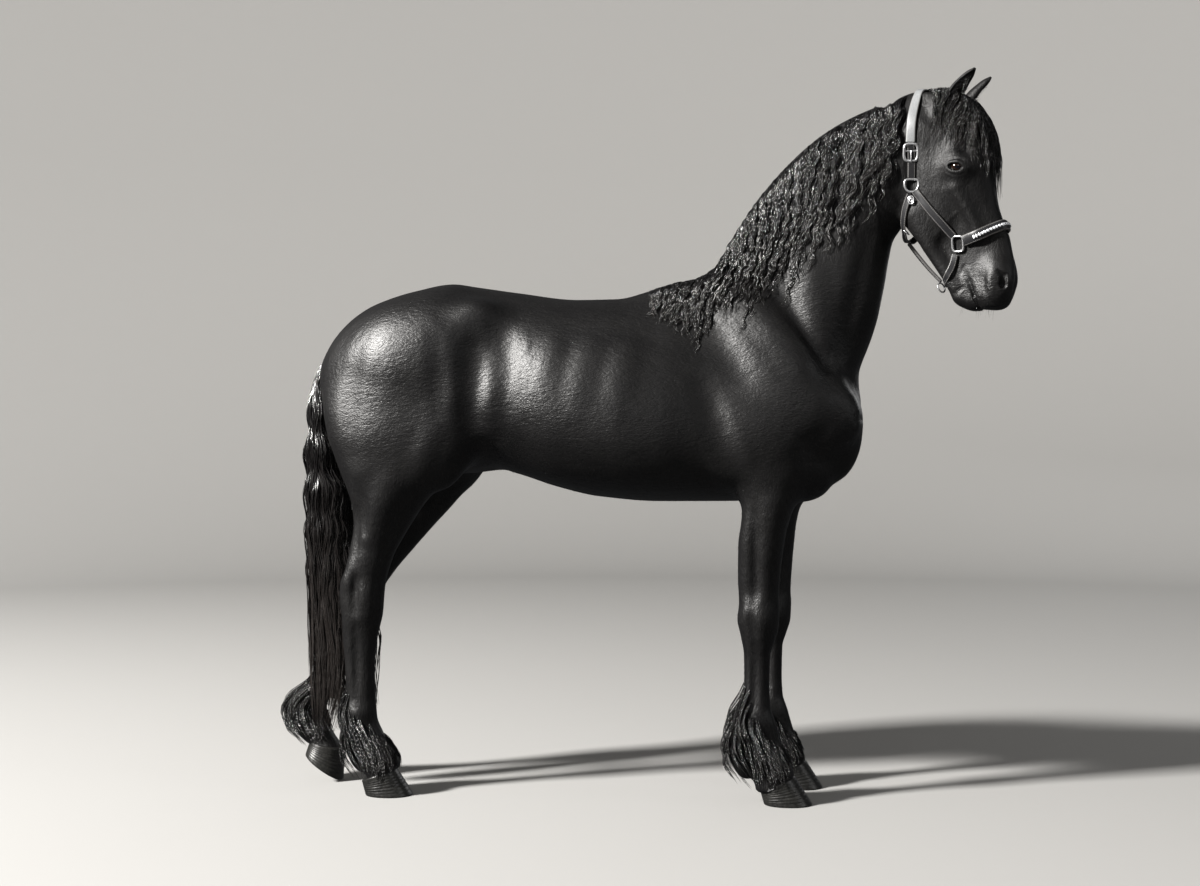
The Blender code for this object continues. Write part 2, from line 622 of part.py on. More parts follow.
def head_forms():
    """The skull, jaws and muzzle, in the head's own frame."""
    skull = Stack(JAW, FACE, FACE_WIDTH, egg=[(0.0, 0.0), (0.2, 0.12), (0.45, -0.05), (0.70, 0.0)],
                  power=[(0.0, 2.1), (0.3, 2.5), (0.70, 2.1)], angle=FACE_ANGLE, frame=HEAD, blend=0.06)
    jaws = [
        Ball((0.022, 0.056, -0.310), (0.084, 0.031, 0.130), (0, -8, 0), HEAD, 0.04),
        Limb([(-0.006, 0.056, -0.375, 0.028), (0.035, 0.048, -0.470, 0.024), (0.086, 0.032, -0.560, 0.019),
              (0.118, 0.018, -0.620, 0.020)], HEAD, 0.04),
        Ball((-0.020, 0.052, -0.110), (0.055, 0.036, 0.080), (0, 0, 0), HEAD, 0.06),
        Ball((-0.030, 0.000, -0.032), (0.080, 0.050, 0.044), (0, 0, 0), HEAD, 0.04, False),
    ]
    face = [
        Ball((0.130, 0.077, -0.240), (0.043, 0.031, 0.038), (0, 0, 0), HEAD, 0.03),
        Limb([(0.125, 0.078, -0.305, 0.012), (0.158, 0.066, -0.365, 0.009), (0.190, 0.049, -0.440, 0.005)],
             HEAD, 0.035),
        Ball((0.092, 0.055, -0.050), (0.036, 0.026, 0.040), (0, 0, 0), HEAD, 0.04),
        Ball((0.165, 0.094, -0.172), (0.018, 0.014, 0.022), (0, 0, 0), HEAD, 0.03, True, True),
    ]
    muzzle = [
        Ball((0.240, 0.027, -0.572), (0.038, 0.029, 0.052), (0, -12, 0), HEAD, 0.04),
        Ball((0.218, 0.0, -0.624), (0.056, 0.047, 0.042), (0, 24, 0), HEAD, 0.03, False),
        Ball((0.152, 0.0, -0.638), (0.044, 0.038, 0.030), (0, 20, 0), HEAD, 0.016, False),
        Ball((0.126, 0.0, -0.622), (0.030, 0.030, 0.027), (0, 0, 0), HEAD, 0.02, False),
        Limb([(0.252, 0.060, -0.556, 0.004), (0.268, 0.056, -0.572, 0.009), (0.266, 0.054, -0.594, 0.010)],
             HEAD, 0.008, True, True),
        Limb([(0.150, 0.056, -0.560, 0.004), (0.163, 0.048, -0.600, 0.004), (0.176, 0.038, -0.640, 0.004),
              (0.186, 0.018, -0.664, 0.004), (0.188, 0.0, -0.672, 0.004)], HEAD, 0.006, True, True),
    ]
    x, y, z = EYE
    rim = y + 0.016
    lids = [
        Limb([(x - 0.027, rim - 0.008, z - 0.001, 0.005), (x - 0.015, rim + 0.002, z + 0.014, 0.006),
              (x + 0.005, rim + 0.003, z + 0.015, 0.006), (x + 0.025, rim - 0.012, z - 0.005, 0.005)],
             HEAD, 0.01),
        Limb([(x - 0.027, rim - 0.008, z - 0.001, 0.005), (x - 0.012, rim + 0.001, z - 0.015, 0.005),
              (x + 0.010, rim, z - 0.016, 0.005), (x + 0.025, rim - 0.012, z - 0.005, 0.005)],
             HEAD, 0.01),
        Ball((x, y + 0.020, z - 0.001), (0.021, 0.014, 0.0105), (0, 10, 0), HEAD, 0.004, True, True),
    ]
    return [skull] + jaws + face + muzzle + lids


def prepared(forms):
    for form in forms:
        ends = np.vstack([points for points, _ in form.rough_meshes()])
        form.box = ends.min(axis=0), ends.max(axis=0)
    return forms


# The tail

TAIL_BACK = [(-1.000, 1.425), (-1.050, 1.375), (-1.081, 1.303), (-1.091, 1.254), (-1.089, 1.173),
             (-1.094, 1.060), (-1.098, 0.930), (-1.098, 0.800), (-1.094, 0.636), (-1.092, 0.457),
             (-1.090, 0.327), (-1.082, 0.220), (-1.060, 0.170)]
TAIL_FRONT = [(-0.960, 1.425), (-0.985, 1.375), (-1.007, 1.310), (-1.017, 1.254), (-1.005, 1.173),
              (-0.974, 1.060), (-0.938, 0.930), (-0.934, 0.800), (-0.938, 0.720), (-0.934, 0.630),
              (-0.926, 0.442), (-0.936, 0.260), (-0.985, 0.170)]
TAIL_WIDTH = [(-1.42, 0.020), (-1.33, 0.040), (-1.17, 0.062), (-0.93, 0.070), (-0.73, 0.062), (-0.44, 0.046),
              (-0.27, 0.038), (-0.17, 0.018)]
TAIL_SIDE = -0.022
TAIL_CORE_LOW = 0.30
TAIL_HAIR = 0.025               # depth of the locks over the core


def tail_object(name, grow=0.0):
    """The tail's core under its locks, or with grow a cutter that much larger."""
    thin = [(-1.43, 0.0), (-1.25, TAIL_HAIR), (-0.40, TAIL_HAIR), (-TAIL_CORE_LOW, TAIL_HAIR * 1.5)]
    places, depths = np.array(thin).T
    lowest = TAIL_CORE_LOW - 0.05

    def slim(z):
        return float(np.interp(-z, places, depths)) - grow

    back = [(x + slim(z), z) for x, z in TAIL_BACK if z > lowest]
    front = [(x - slim(z), z) for x, z in TAIL_FRONT if z > lowest]
    width = [(place, value - slim(-place)) for place, value in TAIL_WIDTH]
    core = Stack(back, front, width, TAIL_SIDE, angle=-90)
    points, faces = core.rough(rings=14, sides=10)
    return keep_largest(outward(new_object(name, points, faces)))


# Locks of hair

LOCK_TAPER = [(0.0, 0.75), (0.25, 1.0), (0.60, 0.85), (0.85, 0.50), (1.0, 0.12)]


def lock_object(path, outs, width, thick, rings=6):
    """A flat tapered lock along the path, its broad side facing the way of outs."""
    smooth = spline_points(path, 0.004)
    at = np.linspace(0, len(smooth) - 1, rings)
    centres = np.stack([np.interp(at, np.arange(len(smooth)), smooth[:, axis]) for axis in range(3)], axis=1)
    spread = np.linspace(0, 1, rings)
    given = np.linspace(0, 1, len(outs))
    normals = np.stack([np.interp(spread, given, outs[:, axis]) for axis in range(3)], axis=1)
    along = np.gradient(centres, axis=0)
    across = np.cross(along, normals)
    across /= np.linalg.norm(across, axis=1)[:, None]
    normals = np.cross(across, along)
    normals /= np.linalg.norm(normals, axis=1)[:, None]
    taper = np.interp(spread, *np.array(LOCK_TAPER).T)[:, None]
    points = []
    for centre, side, out, size in zip(centres, across, normals, taper):
        for u, v in ((1, 0), (0, 1), (-1, 0), (0, -1)):
            points.append(centre + side * u * width / 2 * size + out * v * thick / 2 * np.sqrt(size))
    return outward(new_object("lock", points, tube_faces(rings, 4)))


def fuse(node, locks):
    """Joins the locks to the node that they grow from."""
    group = bpy.data.collections.new("locks")
    for lock in locks:
        group.objects.link(lock)
    join = node.modifiers.new("Locks", "BOOLEAN")
    join.operation, join.operand_type, join.collection, join.solver = "UNION", "COLLECTION", group, "EXACT"
    apply_modifiers(node)
    for lock in locks:
        bpy.data.objects.remove(lock)
    bpy.data.collections.remove(group)
    return keep_largest(node)


MANE_FALL = [  # along X, how far the mane hangs below the crest on the right side, and how far it drifts back
    (0.085, 0.12, 0.00), (0.150, 0.15, 0.01), (0.215, 0.19, 0.02), (0.275, 0.24, 0.03), (0.340, 0.29, 0.04),
    (0.410, 0.35, 0.05), (0.480, 0.41, 0.06), (0.550, 0.43, 0.06), (0.620, 0.41, 0.05), (0.690, 0.37, 0.04),
    (0.755, 0.32, 0.03)]
MANE_LOCKS = 25
MANE_LOCK_WIDTH = (0.042, 0.052)
MANE_LOCK_THICK = 0.011
MANE_ROOT = 0.022               # how far inside the crest a lock starts
WITHER_END = 0.24               # locks behind this place hang on over the torso, clear of it
WITHER_CLEAR = 0.006


def mane_locks(forms, seed=3):
    """Locks from the crest, over the right side of the neck, in a short row on top of a long one."""
    dice = random.Random(seed)
    crest = np.array(CREST)
    along = math.radians(NECK_ANGLE)
    places, falls, drifts = np.array(MANE_FALL).T
    locks = []
    for index in range(MANE_LOCKS):
        upper = index % 2
        x = places[0] + (places[-1] - places[0]) * (index + dice.uniform(0.1, 0.9)) / MANE_LOCKS
        z = float(np.interp(x, *crest.T))
        side = float(np.interp(math.cos(along) * x + math.sin(along) * z, *np.array(NECK_SIDE).T))
        share = dice.uniform(0.60, 0.78) if upper else dice.uniform(0.88, 1.0)
        fall = float(np.interp(x, places, falls)) * share
        drift = float(np.interp(x, places, drifts)) + dice.uniform(-0.015, 0.015)
        sway, phase = dice.uniform(0.004, 0.009), dice.uniform(0, math.tau)
        path = [(x, side + 0.012, z - MANE_ROOT)]
        for step in range(7):
            f = step / 6
            path.append((x - drift * f + sway * math.sin(phase + 7 * f),
                         side - 0.030 - 0.085 * min(1, 2.2 * f), z + 0.004 - (fall + 0.004) * f))
        lift = 0.020 if upper else 0.009
        low_lift = lift + (WITHER_CLEAR if x < WITHER_END else 0.0)
        height = np.interp(np.linspace(0, 1, 7), (0, 0.3, 1), (0.003, lift, low_lift))
        path = np.array(path)
        path[1:] = settle(path[1:], forms, rounds=6, most=0.05, depth=height)
        _, outs = slope_of(path, forms)
        outs[0] = outs[1]
        locks.append(lock_object(path, outs, dice.uniform(*MANE_LOCK_WIDTH), MANE_LOCK_THICK))
    return locks


FORELOCK_LOCKS = 8
FORELOCK_WIDTH = (0.026, 0.034)
FORELOCK_THICK = 0.009


def forelock_locks(forms, seed=3):
    """Locks from between the ears down over the forehead, in the head's frame."""
    dice = random.Random(seed)
    locks = []
    for index in range(FORELOCK_LOCKS):
        u = (index + 0.5) / FORELOCK_LOCKS * 2 - 1
        fall = dice.uniform(0.17, 0.25) * (1 - 0.25 * abs(u))
        wide = 0.054 * u + dice.uniform(-0.006, 0.006)
        path = [(0.092, 0.026 * u, -0.018)]
        for step in range(6):
            f = step / 5
            path.append((0.110 + 0.100 * f, 0.028 * u + (wide - 0.028 * u) * f, 0.020 - (fall + 0.03) * f))
        path = to_world(np.array(path), HEAD)
        height = np.interp(np.linspace(0, 1, 6), (0, 0.3, 1), (0.003, 0.007, 0.007))
        path[1:] = settle(path[1:], forms, rounds=6, most=0.05, depth=height + 0.009 * (index % 2))
        _, outs = slope_of(path, forms)
        outs[0] = outs[1]
        locks.append(lock_object(path, outs, dice.uniform(*FORELOCK_WIDTH), FORELOCK_THICK))
    return locks


TAIL_ROWS = [  # where the locks of a row start, how long they are, how far out they lie, how many
    (1.32, 0.56, 0.96, 7), (1.05, 0.58, 0.84, 6), (0.78, 0.62, 0.78, 6)]
TAIL_LOCK_WIDTH = (0.040, 0.048)
TAIL_LOCK_THICK = 0.010
TAIL_LOW = 0.175                # the tips hang no lower
TAIL_FRONT_FREE = 1.2           # above it the tail's front lies against the torso, without locks


def tail_locks(seed=3):
    """Rows of locks that hang down round the tail's core, each row over the next."""
    dice = random.Random(seed)
    locks = []
    for row, (start, long, share, count) in enumerate(TAIL_ROWS):
        for index in range(count):
            turn = math.tau * (index + 0.5 * (row % 2) + dice.uniform(-0.1, 0.1)) / count
            top = start + dice.uniform(-0.05, 0.03)
            if top > TAIL_FRONT_FREE and math.cos(turn) > 0.2:
                continue
            low = max(TAIL_LOW, top - long * dice.uniform(0.92, 1.08))
            sway, phase = dice.uniform(0.05, 0.14), dice.uniform(0, math.tau)
            path, outs = [], []
            for step in range(9):
                f = step / 8
                z = top + (low - top) * f
                swing = turn + sway * math.sin(phase + 6 * f)
                back, front = (float(np.interp(-z, *np.array([(-b, a) for a, b in edge]).T))
                               for edge in (TAIL_BACK, TAIL_FRONT))
                width = float(np.interp(-z, *np.array(TAIL_WIDTH).T))
                out = 0.45 if step == 0 else share * (1 - 0.1 * f)
                path.append(((back + front) / 2 + (front - back) / 2 * out * math.cos(swing),
                             TAIL_SIDE + width * out * math.sin(swing), z))
                outs.append((math.cos(swing), math.sin(swing), 0.0))
            locks.append(lock_object(np.array(path), np.array(outs), dice.uniform(*TAIL_LOCK_WIDTH),
                                     TAIL_LOCK_THICK))
    return locks


FEATHER_LOCKS = 8
FEATHER_WIDTH = (0.040, 0.050)
FEATHER_THICK = 0.012
FEATHER_END = 0.135             # height where the lowest locks start
FEATHER_FAN = 75.0              # degrees to each side of straight back
GOLDEN_TURN = 137.5             # degrees from one lock to the next, which spreads them evenly
FEATHERS = {  # how high the hair starts, how long it is, and how far it stands off behind
    "foreleg_right": (0.335, 0.165, 0.030),
    "foreleg_left": (0.335, 0.165, 0.030),
    "hindleg_right": (0.310, 0.150, 0.022),
    "hindleg_left": (0.345, 0.135, 0.026),
}


def off_hoof(points, leg, gap):
    """Moves points beside the hoof out to gap from its wall, the hoof taken as an upright oval post."""
    middle = Vector((-HOOF_LENGTH / 2 - 0.006, 0.0, 0.0))
    near = to_local(points, hoof_frame(leg)) - np.array(middle)
    sizes = np.array([HOOF_LENGTH / 2 + 0.010 + gap, HOOF_WIDTH / 2 + gap])
    reach = np.linalg.norm(near[:, :2] / sizes, axis=1)
    beside = (near[:, 2] < CORONET_FRONT[1] + 0.01) & (reach < 1)
    near[beside, :2] /= reach[beside, None]
    return to_world(near + np.array(middle), hoof_frame(leg))


def feather_locks(leg, forms, seed=3):
    """Locks behind the cannon and round the fetlock and coronet of one leg."""
    dice = random.Random(seed)
    top, long, spread = FEATHERS[leg]
    (toe_x, toe_y), tip = HOOVES[leg]
    rear = {"hindleg_right": STANDING_REAR, "hindleg_left": RESTING_REAR}.get(leg, FORELEG_REAR)
    shift = toe_x - HOOVES["foreleg_right"][0][0] if leg == "foreleg_left" else 0.0
    locks = []
    for index in range(FEATHER_LOCKS):
        f = index / (FEATHER_LOCKS - 1)
        z = top + (FEATHER_END - top) * f + (0.05 if tip else 0.0) * f
        turn = math.radians((index * GOLDEN_TURN) % (2 * FEATHER_FAN) - FEATHER_FAN)
        back = float(np.interp(z, *np.array(sorted((b, a) for a, b in rear)).T)) + shift
        out = np.array([-math.cos(turn), math.sin(turn), 0.0])
        start = np.array([back + 0.035, toe_y, z]) + out * 0.012
        size = long * dice.uniform(0.75, 1.0) * (0.7 + 0.3 * math.sin(math.pi * min(1, f + 0.2)))
        reach = spread * (0.4 + 0.6 * math.cos(turn)) * dice.uniform(0.8, 1.1)
        path = [start]
        for step in range(1, 7):
            g = step / 6
            path.append(start + out * (0.028 + reach * math.sin(2.2 * g)) - np.array([0, 0, size * g]))
        path = np.array(path)
        path[:, 2] = np.maximum(path[:, 2], 0.014 + 0.004 * (index % 3))
        path[2:] = pushed_out(path[2:], forms, 0.008)
        path = off_hoof(path, leg, 0.009)
        outs = np.repeat(out[None], len(path), axis=0)
        locks.append(lock_object(path, outs, dice.uniform(*FEATHER_WIDTH), FEATHER_THICK, rings=5))
    return locks


# Pieces of their own

SOLE_SIDES = 20
HOOF_RINGS = 4


def hoof_object(leg):
    """The hoof's wall, from a round toed sole up to the slanting coronet."""
    rings = []
    for step in range(HOOF_RINGS):
        f = step / (HOOF_RINGS - 1)
        toe = (CORONET_FRONT[0] * f, CORONET_FRONT[1] * f)
        heel = (-HOOF_LENGTH + (CORONET_HEEL[0] + HOOF_LENGTH) * f, CORONET_HEEL[1] * f)
        wide = HOOF_WIDTH / 2 * (1 - 0.13 * f)
        for side in range(SOLE_SIDES):
            turn = math.tau * side / SOLE_SIDES
            along = 0.5 - 0.5 * math.cos(turn)
            across = math.copysign(abs(math.sin(turn)) ** 0.85, math.sin(turn)) * wide
            rings.append((toe[0] + (heel[0] - toe[0]) * along, across, toe[1] + (heel[1] - toe[1]) * along))
    faces = tube_faces(HOOF_RINGS, SOLE_SIDES)
    name = leg.replace("foreleg", "fore_hoof").replace("hindleg", "hind_hoof")
    return keep_largest(new_object(name, to_world(rings, hoof_frame(leg)), faces))


def ball_object(name, centre, radius, u=14, v=9):
    shape = bmesh.new()
    bmesh.ops.create_uvsphere(shape, u_segments=u, v_segments=v, radius=radius)
    bmesh.ops.translate(shape, verts=shape.verts, vec=Vector(centre))
    return object_from(name, shape)


def eye_object(name, side, grow=0.0):
    centre = to_world([(EYE[0], side * EYE[1], EYE[2])], HEAD)[0]
    return ball_object(name, centre, EYE_RADIUS + grow)


EAR_ROOT = (0.098, 0.060, -0.052)
EAR_TIP = (0.186, 0.076, 0.056)
EAR_WIDTH = [(0.0, 0.022), (0.12, 0.024), (0.30, 0.029), (0.50, 0.028), (0.70, 0.022), (0.86, 0.014),
             (1.0, 0.004)]
EAR_TURN = 35.0                 # degrees, how far outwards the cup opens from straight ahead


def ear_loft(name, side, start, end, thick, shift, grow=0.0, sides=10, rings=8):
    """A leaf of oval rings from start to end of the ear's length. shift moves it towards the opening."""
    root, tip = (Vector((p[0], side * p[1], p[2])) for p in (EAR_ROOT, EAR_TIP))
    along = (tip - root).normalized()
    turn = math.radians(EAR_TURN)
    front = Vector((math.cos(turn), side * math.sin(turn), 0.0))
    front = (front - along * front.dot(along)).normalized()
    across = along.cross(front)
    places, widths = np.array(EAR_WIDTH).T
    points = []
    for ring in range(rings):
        f = start + (end - start) * ring / (rings - 1)
        wide = float(np.interp(f, places, widths)) * thick + grow
        lean = Vector((0.010, 0.0, 0.0)) * math.sin(math.pi * f)
        centre = root.lerp(tip, f) - lean + front * shift * float(np.interp(f, places, widths))
        for index in range(sides):
            angle = math.tau * index / sides
            points.append(centre + (across * math.cos(angle) + front * math.sin(angle) * 0.8) * wide)
    return outward(new_object(name, to_world(np.array(points), HEAD), tube_faces(rings, sides)))


def ear_object(name, side):
    ear = ear_loft(name, side, 0.0, 1.0, 1.0, 0.0)
    cup = ear_loft("cup", side, 0.22, 0.93, 0.80, 0.42, rings=6, sides=8)
    return keep_largest(combine(ear, cup, "DIFFERENCE"))


def half_space(name, point, normal, frame=BODY, size=3.0):
    """A large box whose face through point looks against normal."""
    normal = Vector(normal).normalized()
    turn = normal.to_track_quat("Z", "Y").to_matrix().to_4x4()
    place = frame @ Matrix.Translation(Vector(point)) @ turn
    return box_object(name, place, (-size, -size, 0.0), (size, size, size))


def copy_object(obj, name):
    twin = obj.copy()
    twin.data = obj.data.copy()
    twin.name = name
    bpy.context.scene.collection.objects.link(twin)
    return twin


# Cuts between the nodes, each a point on the plane and its normal

HEAD_CUT = ((-0.050, 0.0, 0.0), (1.0, 0.0, -0.02))       # in the head's frame
NECK_CUT = ((0.060, 0.0, 1.595), (0.458, 0.0, 0.889))
LEG_CUT = 0.918


def beyond(point, normal, step):
    return tuple(Vector(point) + Vector(normal).normalized() * step)


def part_body(body, head):
    """Parts the two skins into torso, neck, head and legs, with a thin gap at each cut."""
    nodes = {}
    head_point, head_normal = HEAD_CUT
    neck_point, neck_normal = NECK_CUT
    back = tuple(-value for value in head_normal)
    nodes["head"] = combine(head, half_space("cut", head_point, head_normal, HEAD), "INTERSECT")
    neck = copy_object(body, "neck")
    combine(neck, half_space("cut", neck_point, neck_normal), "INTERSECT")
    combine(neck, half_space("cut", beyond(head_point, head_normal, -GAP), back, HEAD), "INTERSECT")
    nodes["neck"] = neck
    below = tuple(-value for value in neck_normal)
    combine(body, half_space("cut", beyond(neck_point, neck_normal, -GAP), below), "INTERSECT")
    for leg, (spot, _) in HOOVES.items():
        way = -1 if spot[1] < 0 else 1
        low = (0.0 if spot[0] > 0 else -2.0, min(0.0, way * 1.0), -0.1)
        high = (2.0 if spot[0] > 0 else 0.0, max(0.0, way * 1.0), LEG_CUT - GAP)
        node = copy_object(body, leg)
        combine(node, box_object("cut", BODY, low, high), "INTERSECT")
        heel = Vector((CORONET_HEEL[0], 0, CORONET_HEEL[1])) - Vector((CORONET_FRONT[0], 0, CORONET_FRONT[1]))
        up = Vector((0, 1, 0)).cross(heel).normalized()
        if up.z < 0:
            up = -up
        coronet = Vector((CORONET_FRONT[0], 0, CORONET_FRONT[1])) + up * GAP
        combine(node, half_space("cut", coronet, up, hoof_frame(leg)), "INTERSECT")
        nodes[leg] = node
    combine(body, half_space("cut", (0, 0, LEG_CUT), (0, 0, 1)), "INTERSECT")
    body.name = "torso"
    nodes["torso"] = body
    for name, node in nodes.items():
        node.name = name
        keep_largest(node)
    return nodes


# The headcollar, laid on the head in its own frame

LEATHER = 0.0045
CLEAR = 0.0035                  # between the skin and the leather's inner face


def laid(path, forms, height, free=()):
    """Path points of the head's frame moved to stand height off the skin, except those in free."""
    points = to_world(np.array(path, float), HEAD)
    settled = settle(points, forms, rounds=6, depth=height)
    for index in free:
        settled[index] = points[index]
    return settled


def strap_object(name, points, forms, width, thick, spacing=0.016):
    """A flat strap along the points, which lies flat on the skin under it."""
    points = spline_points(points, spacing)
    _, normals = slope_of(points, forms)
    along = np.gradient(points, axis=0)
    along /= np.linalg.norm(along, axis=1)[:, None]
    normals -= (normals * along).sum(axis=1)[:, None] * along
    normals /= np.linalg.norm(normals, axis=1)[:, None]
    for _ in range(3):
        normals[1:-1] = (normals[:-2] + normals[1:-1] * 2 + normals[2:]) / 4
    normals -= (normals * along).sum(axis=1)[:, None] * along
    normals /= np.linalg.norm(normals, axis=1)[:, None]
    across = np.cross(along, normals)
    rings = []
    for centre, out, side in zip(points, normals, across):
        for u, v in ((-1, -1), (1, -1), (1, 1), (-1, 1)):
            rings.append(centre + side * u * width / 2 + out * v * thick / 2)
    return keep_largest(outward(new_object(name, rings, tube_faces(len(points), 4))))


def seat(node, pieces, gap=GAP * 2):
    """Cuts the node clear of the pieces that lie on it or that its locks hang over."""
    for piece in pieces:
        cutter = copy_object(piece, "cut")
        _, normals = mesh_normals(cutter)
        put_points(cutter.data, points_of(cutter.data) + normals * gap)
        combine(node, cutter, "DIFFERENCE")
    return keep_largest(node)


def cut_clear(locks, node):
    """Cuts the locks that reach into the node's box clear of the node."""
    body = points_of(node.data)
    for lock in locks:
        points = points_of(lock.data)
        if np.all(points.min(axis=0) < body.max(axis=0)) and np.all(points.max(axis=0) > body.min(axis=0)):
            seat(lock, [node])
    return locks


def plate_object(name, centre, forms, width, height, thick, along=(0, 0, 1), lift=CLEAR,
                 bevel=0.2, sides=12):
    """A rounded plate lifted off the skin, its height along the given way of the head's frame."""
    point = laid([centre], forms, lift + thick / 2)
    _, normal = slope_of(point, forms)
    out = Vector(normal[0]).normalized()
    up = HEAD.to_3x3() @ Vector(along)
    up = (up - out * up.dot(out)).normalized()
    side = up.cross(out)
    rings = []
    for level, shrink in ((-1, 1.0), (0.4, 1.0), (1, 1 - bevel)):
        for index in range(sides):
            turn = math.tau * index / sides
            c, s = math.cos(turn), math.sin(turn)
            reach = (abs(c) ** 3 + abs(s) ** 3) ** (-1 / 3)
            rings.append(Vector(point[0]) + side * c * reach * width / 2 * shrink
                         + up * s * reach * height / 2 * shrink + out * level * thick / 2)
    return keep_largest(outward(new_object(name, rings, tube_faces(3, sides))))


CROWN = [(-0.014, 0.080, -0.150), (-0.010, 0.078, -0.110), (-0.004, 0.066, -0.050), (0.000, 0.040, -0.004),
         (0.000, 0.000, 0.012)]
NOSEBAND = [(0.146, 0.062, -0.460), (0.190, 0.056, -0.443), (0.230, 0.046, -0.427), (0.262, 0.026, -0.412),
            (0.272, 0.000, -0.408)]
THROAT_STRAP = [(-0.014, 0.082, -0.312), (-0.022, 0.080, -0.350), (-0.034, 0.074, -0.395),
                (-0.046, 0.056, -0.426), (-0.052, 0.030, -0.442), (-0.054, 0.000, -0.448)]
CHIN_STRAP = [(0.116, 0.062, -0.500), (0.106, 0.056, -0.535), (0.090, 0.046, -0.562),
              (0.072, 0.026, -0.580), (0.068, 0.000, -0.584)]
JAW_STRAP = [(-0.044, 0.0, -0.462), (-0.018, 0.0, -0.490), (0.014, 0.0, -0.530), (0.040, 0.0, -0.566)]


def headcollar(forms):
    """Crown, cheeks, noseband, throat and chin straps with their fittings, on both sides."""
    pieces = []

    def around(path):
        """The path of the left half, run from the right side over to the left."""
        return [(x, -y, z) for x, y, z in path] + path[-2::-1]

    def strap(name, path, width, thick=LEATHER, free=()):
        pieces.append(strap_object(name, laid(path, forms, CLEAR + thick / 2, free), forms, width, thick))

    def plate(name, centre, width, height, thick, **more):
        pieces.append(plate_object(name, centre, forms, width, height, thick, **more))

    strap("crown_strap", around(CROWN), 0.028)
    strap("noseband", around(NOSEBAND), 0.034, 0.010)
    strap("throat_strap", around(THROAT_STRAP), 0.020, free=range(3, 8))
    strap("chin_strap", around(CHIN_STRAP), 0.020, free=range(3, 6))
    strap("jaw_strap", JAW_STRAP, 0.018, free=range(4))
    plate("chin_ring", (0.064, 0.0, -0.590), 0.034, 0.034, 0.006, along=(0.6, 0, -0.8), lift=0.028)
    for side, word in ((-1, "right"), (1, "left")):
        def both(path):
            return [(x, side * y, z) for x, y, z in path]
        plate("buckle_" + word, (-0.016, side * 0.080, -0.182), 0.048, 0.058, 0.007)
        strap("temple_strap_" + word,
              both([(-0.015, 0.080, -0.214), (-0.013, 0.082, -0.238), (-0.012, 0.084, -0.262)]), 0.026)
        plate("upper_ring_" + word, (-0.010, side * 0.084, -0.286), 0.046, 0.042, 0.007)
        strap("cheek_strap_" + word,
              both([(0.010, 0.088, -0.313), (0.045, 0.090, -0.358), (0.080, 0.086, -0.402),
                    (0.110, 0.078, -0.440)]), 0.024, 0.006)
        plate("lower_ring_" + word, (0.126, side * 0.070, -0.470), 0.038, 0.050, 0.008)
    return pieces


# Finish

SHARP_EDGE = 50.0               # degrees between two faces whose edge stays sharp
COLOURS = {  # base colour, roughness, metallic
    "coat": ((0.012, 0.011, 0.011), 0.38, 0.0),
    "horn": ((0.060, 0.062, 0.055), 0.55, 0.0),
    "eye": ((0.010, 0.007, 0.005), 0.08, 0.0),
    "leather": ((0.020, 0.020, 0.021), 0.45, 0.0),
    "metal": ((0.620, 0.620, 0.630), 0.30, 1.0),
}


def finish_of(name):
    if "hoof" in name:
        return "horn"
    if name.startswith("eye"):
        return "eye"
    if "ring" in name or "buckle" in name:
        return "metal"
    if "strap" in name or name == "noseband":
        return "leather"
    return "coat"


def give_finish(obj):
    colour, roughness, metallic = COLOURS[finish_of(obj.name)]
    material = bpy.data.materials.new(obj.name + "_" + finish_of(obj.name))
    material.use_nodes = True
    shader = material.node_tree.nodes["Principled BSDF"]
    shader.inputs["Base Color"].default_value = (*colour, 1.0)
    shader.inputs["Roughness"].default_value = roughness
    shader.inputs["Metallic"].default_value = metallic
    obj.data.materials.clear()
    obj.data.materials.append(material)
    obj.data.shade_smooth()
    obj.data.set_sharp_from_angle(angle=math.radians(SHARP_EDGE))


def main():
    for obj in list(bpy.data.objects):
        bpy.data.objects.remove(obj)
    body, head = prepared(body_forms()), prepared(head_forms())
    forms = body + head
    skin = skin_object("body", forms, forms, BODY_VOXEL, BODY_FACES)
    details = [(to_world([(x, side * y, z)], HEAD)[0], radius)
               for x, y, z, radius in HEAD_DETAILS for side in (-1, 1)]
    face = skin_object("face", head + body[1:2], forms, HEAD_VOXEL, HEAD_FACES, details)
    nodes = part_body(skin, face)
    for leg in HOOVES:
        hoof_object(leg)
    fuse(nodes["head"], forelock_locks(forms))
    for side, word in ((-1, "right"), (1, "left")):
        combine(nodes["head"], eye_object("socket", side, GAP), "DIFFERENCE")
        eye_object("eye_" + word, side)
        combine(nodes["head"], ear_loft("seat", side, -0.05, 0.60, 1.0, 0.0, GAP * 2), "DIFFERENCE")
        ear_object("ear_" + word, side)
    keep_largest(nodes["head"])
    combine(nodes["torso"], tail_object("groove", GAP * 1.5), "DIFFERENCE")
    keep_largest(nodes["torso"])
    fuse(nodes["neck"], cut_clear(mane_locks(forms), nodes["torso"]))
    fuse(tail_object("tail"), cut_clear(tail_locks(), nodes["torso"]))
    for leg in HOOVES:
        fuse(nodes[leg], feather_locks(leg, forms))
    seat(nodes["head"], headcollar(forms))
    collection = bpy.data.collections.new("Friesian horse")
    bpy.context.scene.collection.children.link(collection)
    for obj in list(bpy.context.scene.collection.objects):
        obj.data.transform(Matrix.Translation(SHIFT))
        give_finish(obj)
        collection.objects.link(obj)
        bpy.context.scene.collection.objects.unlink(obj)


main()
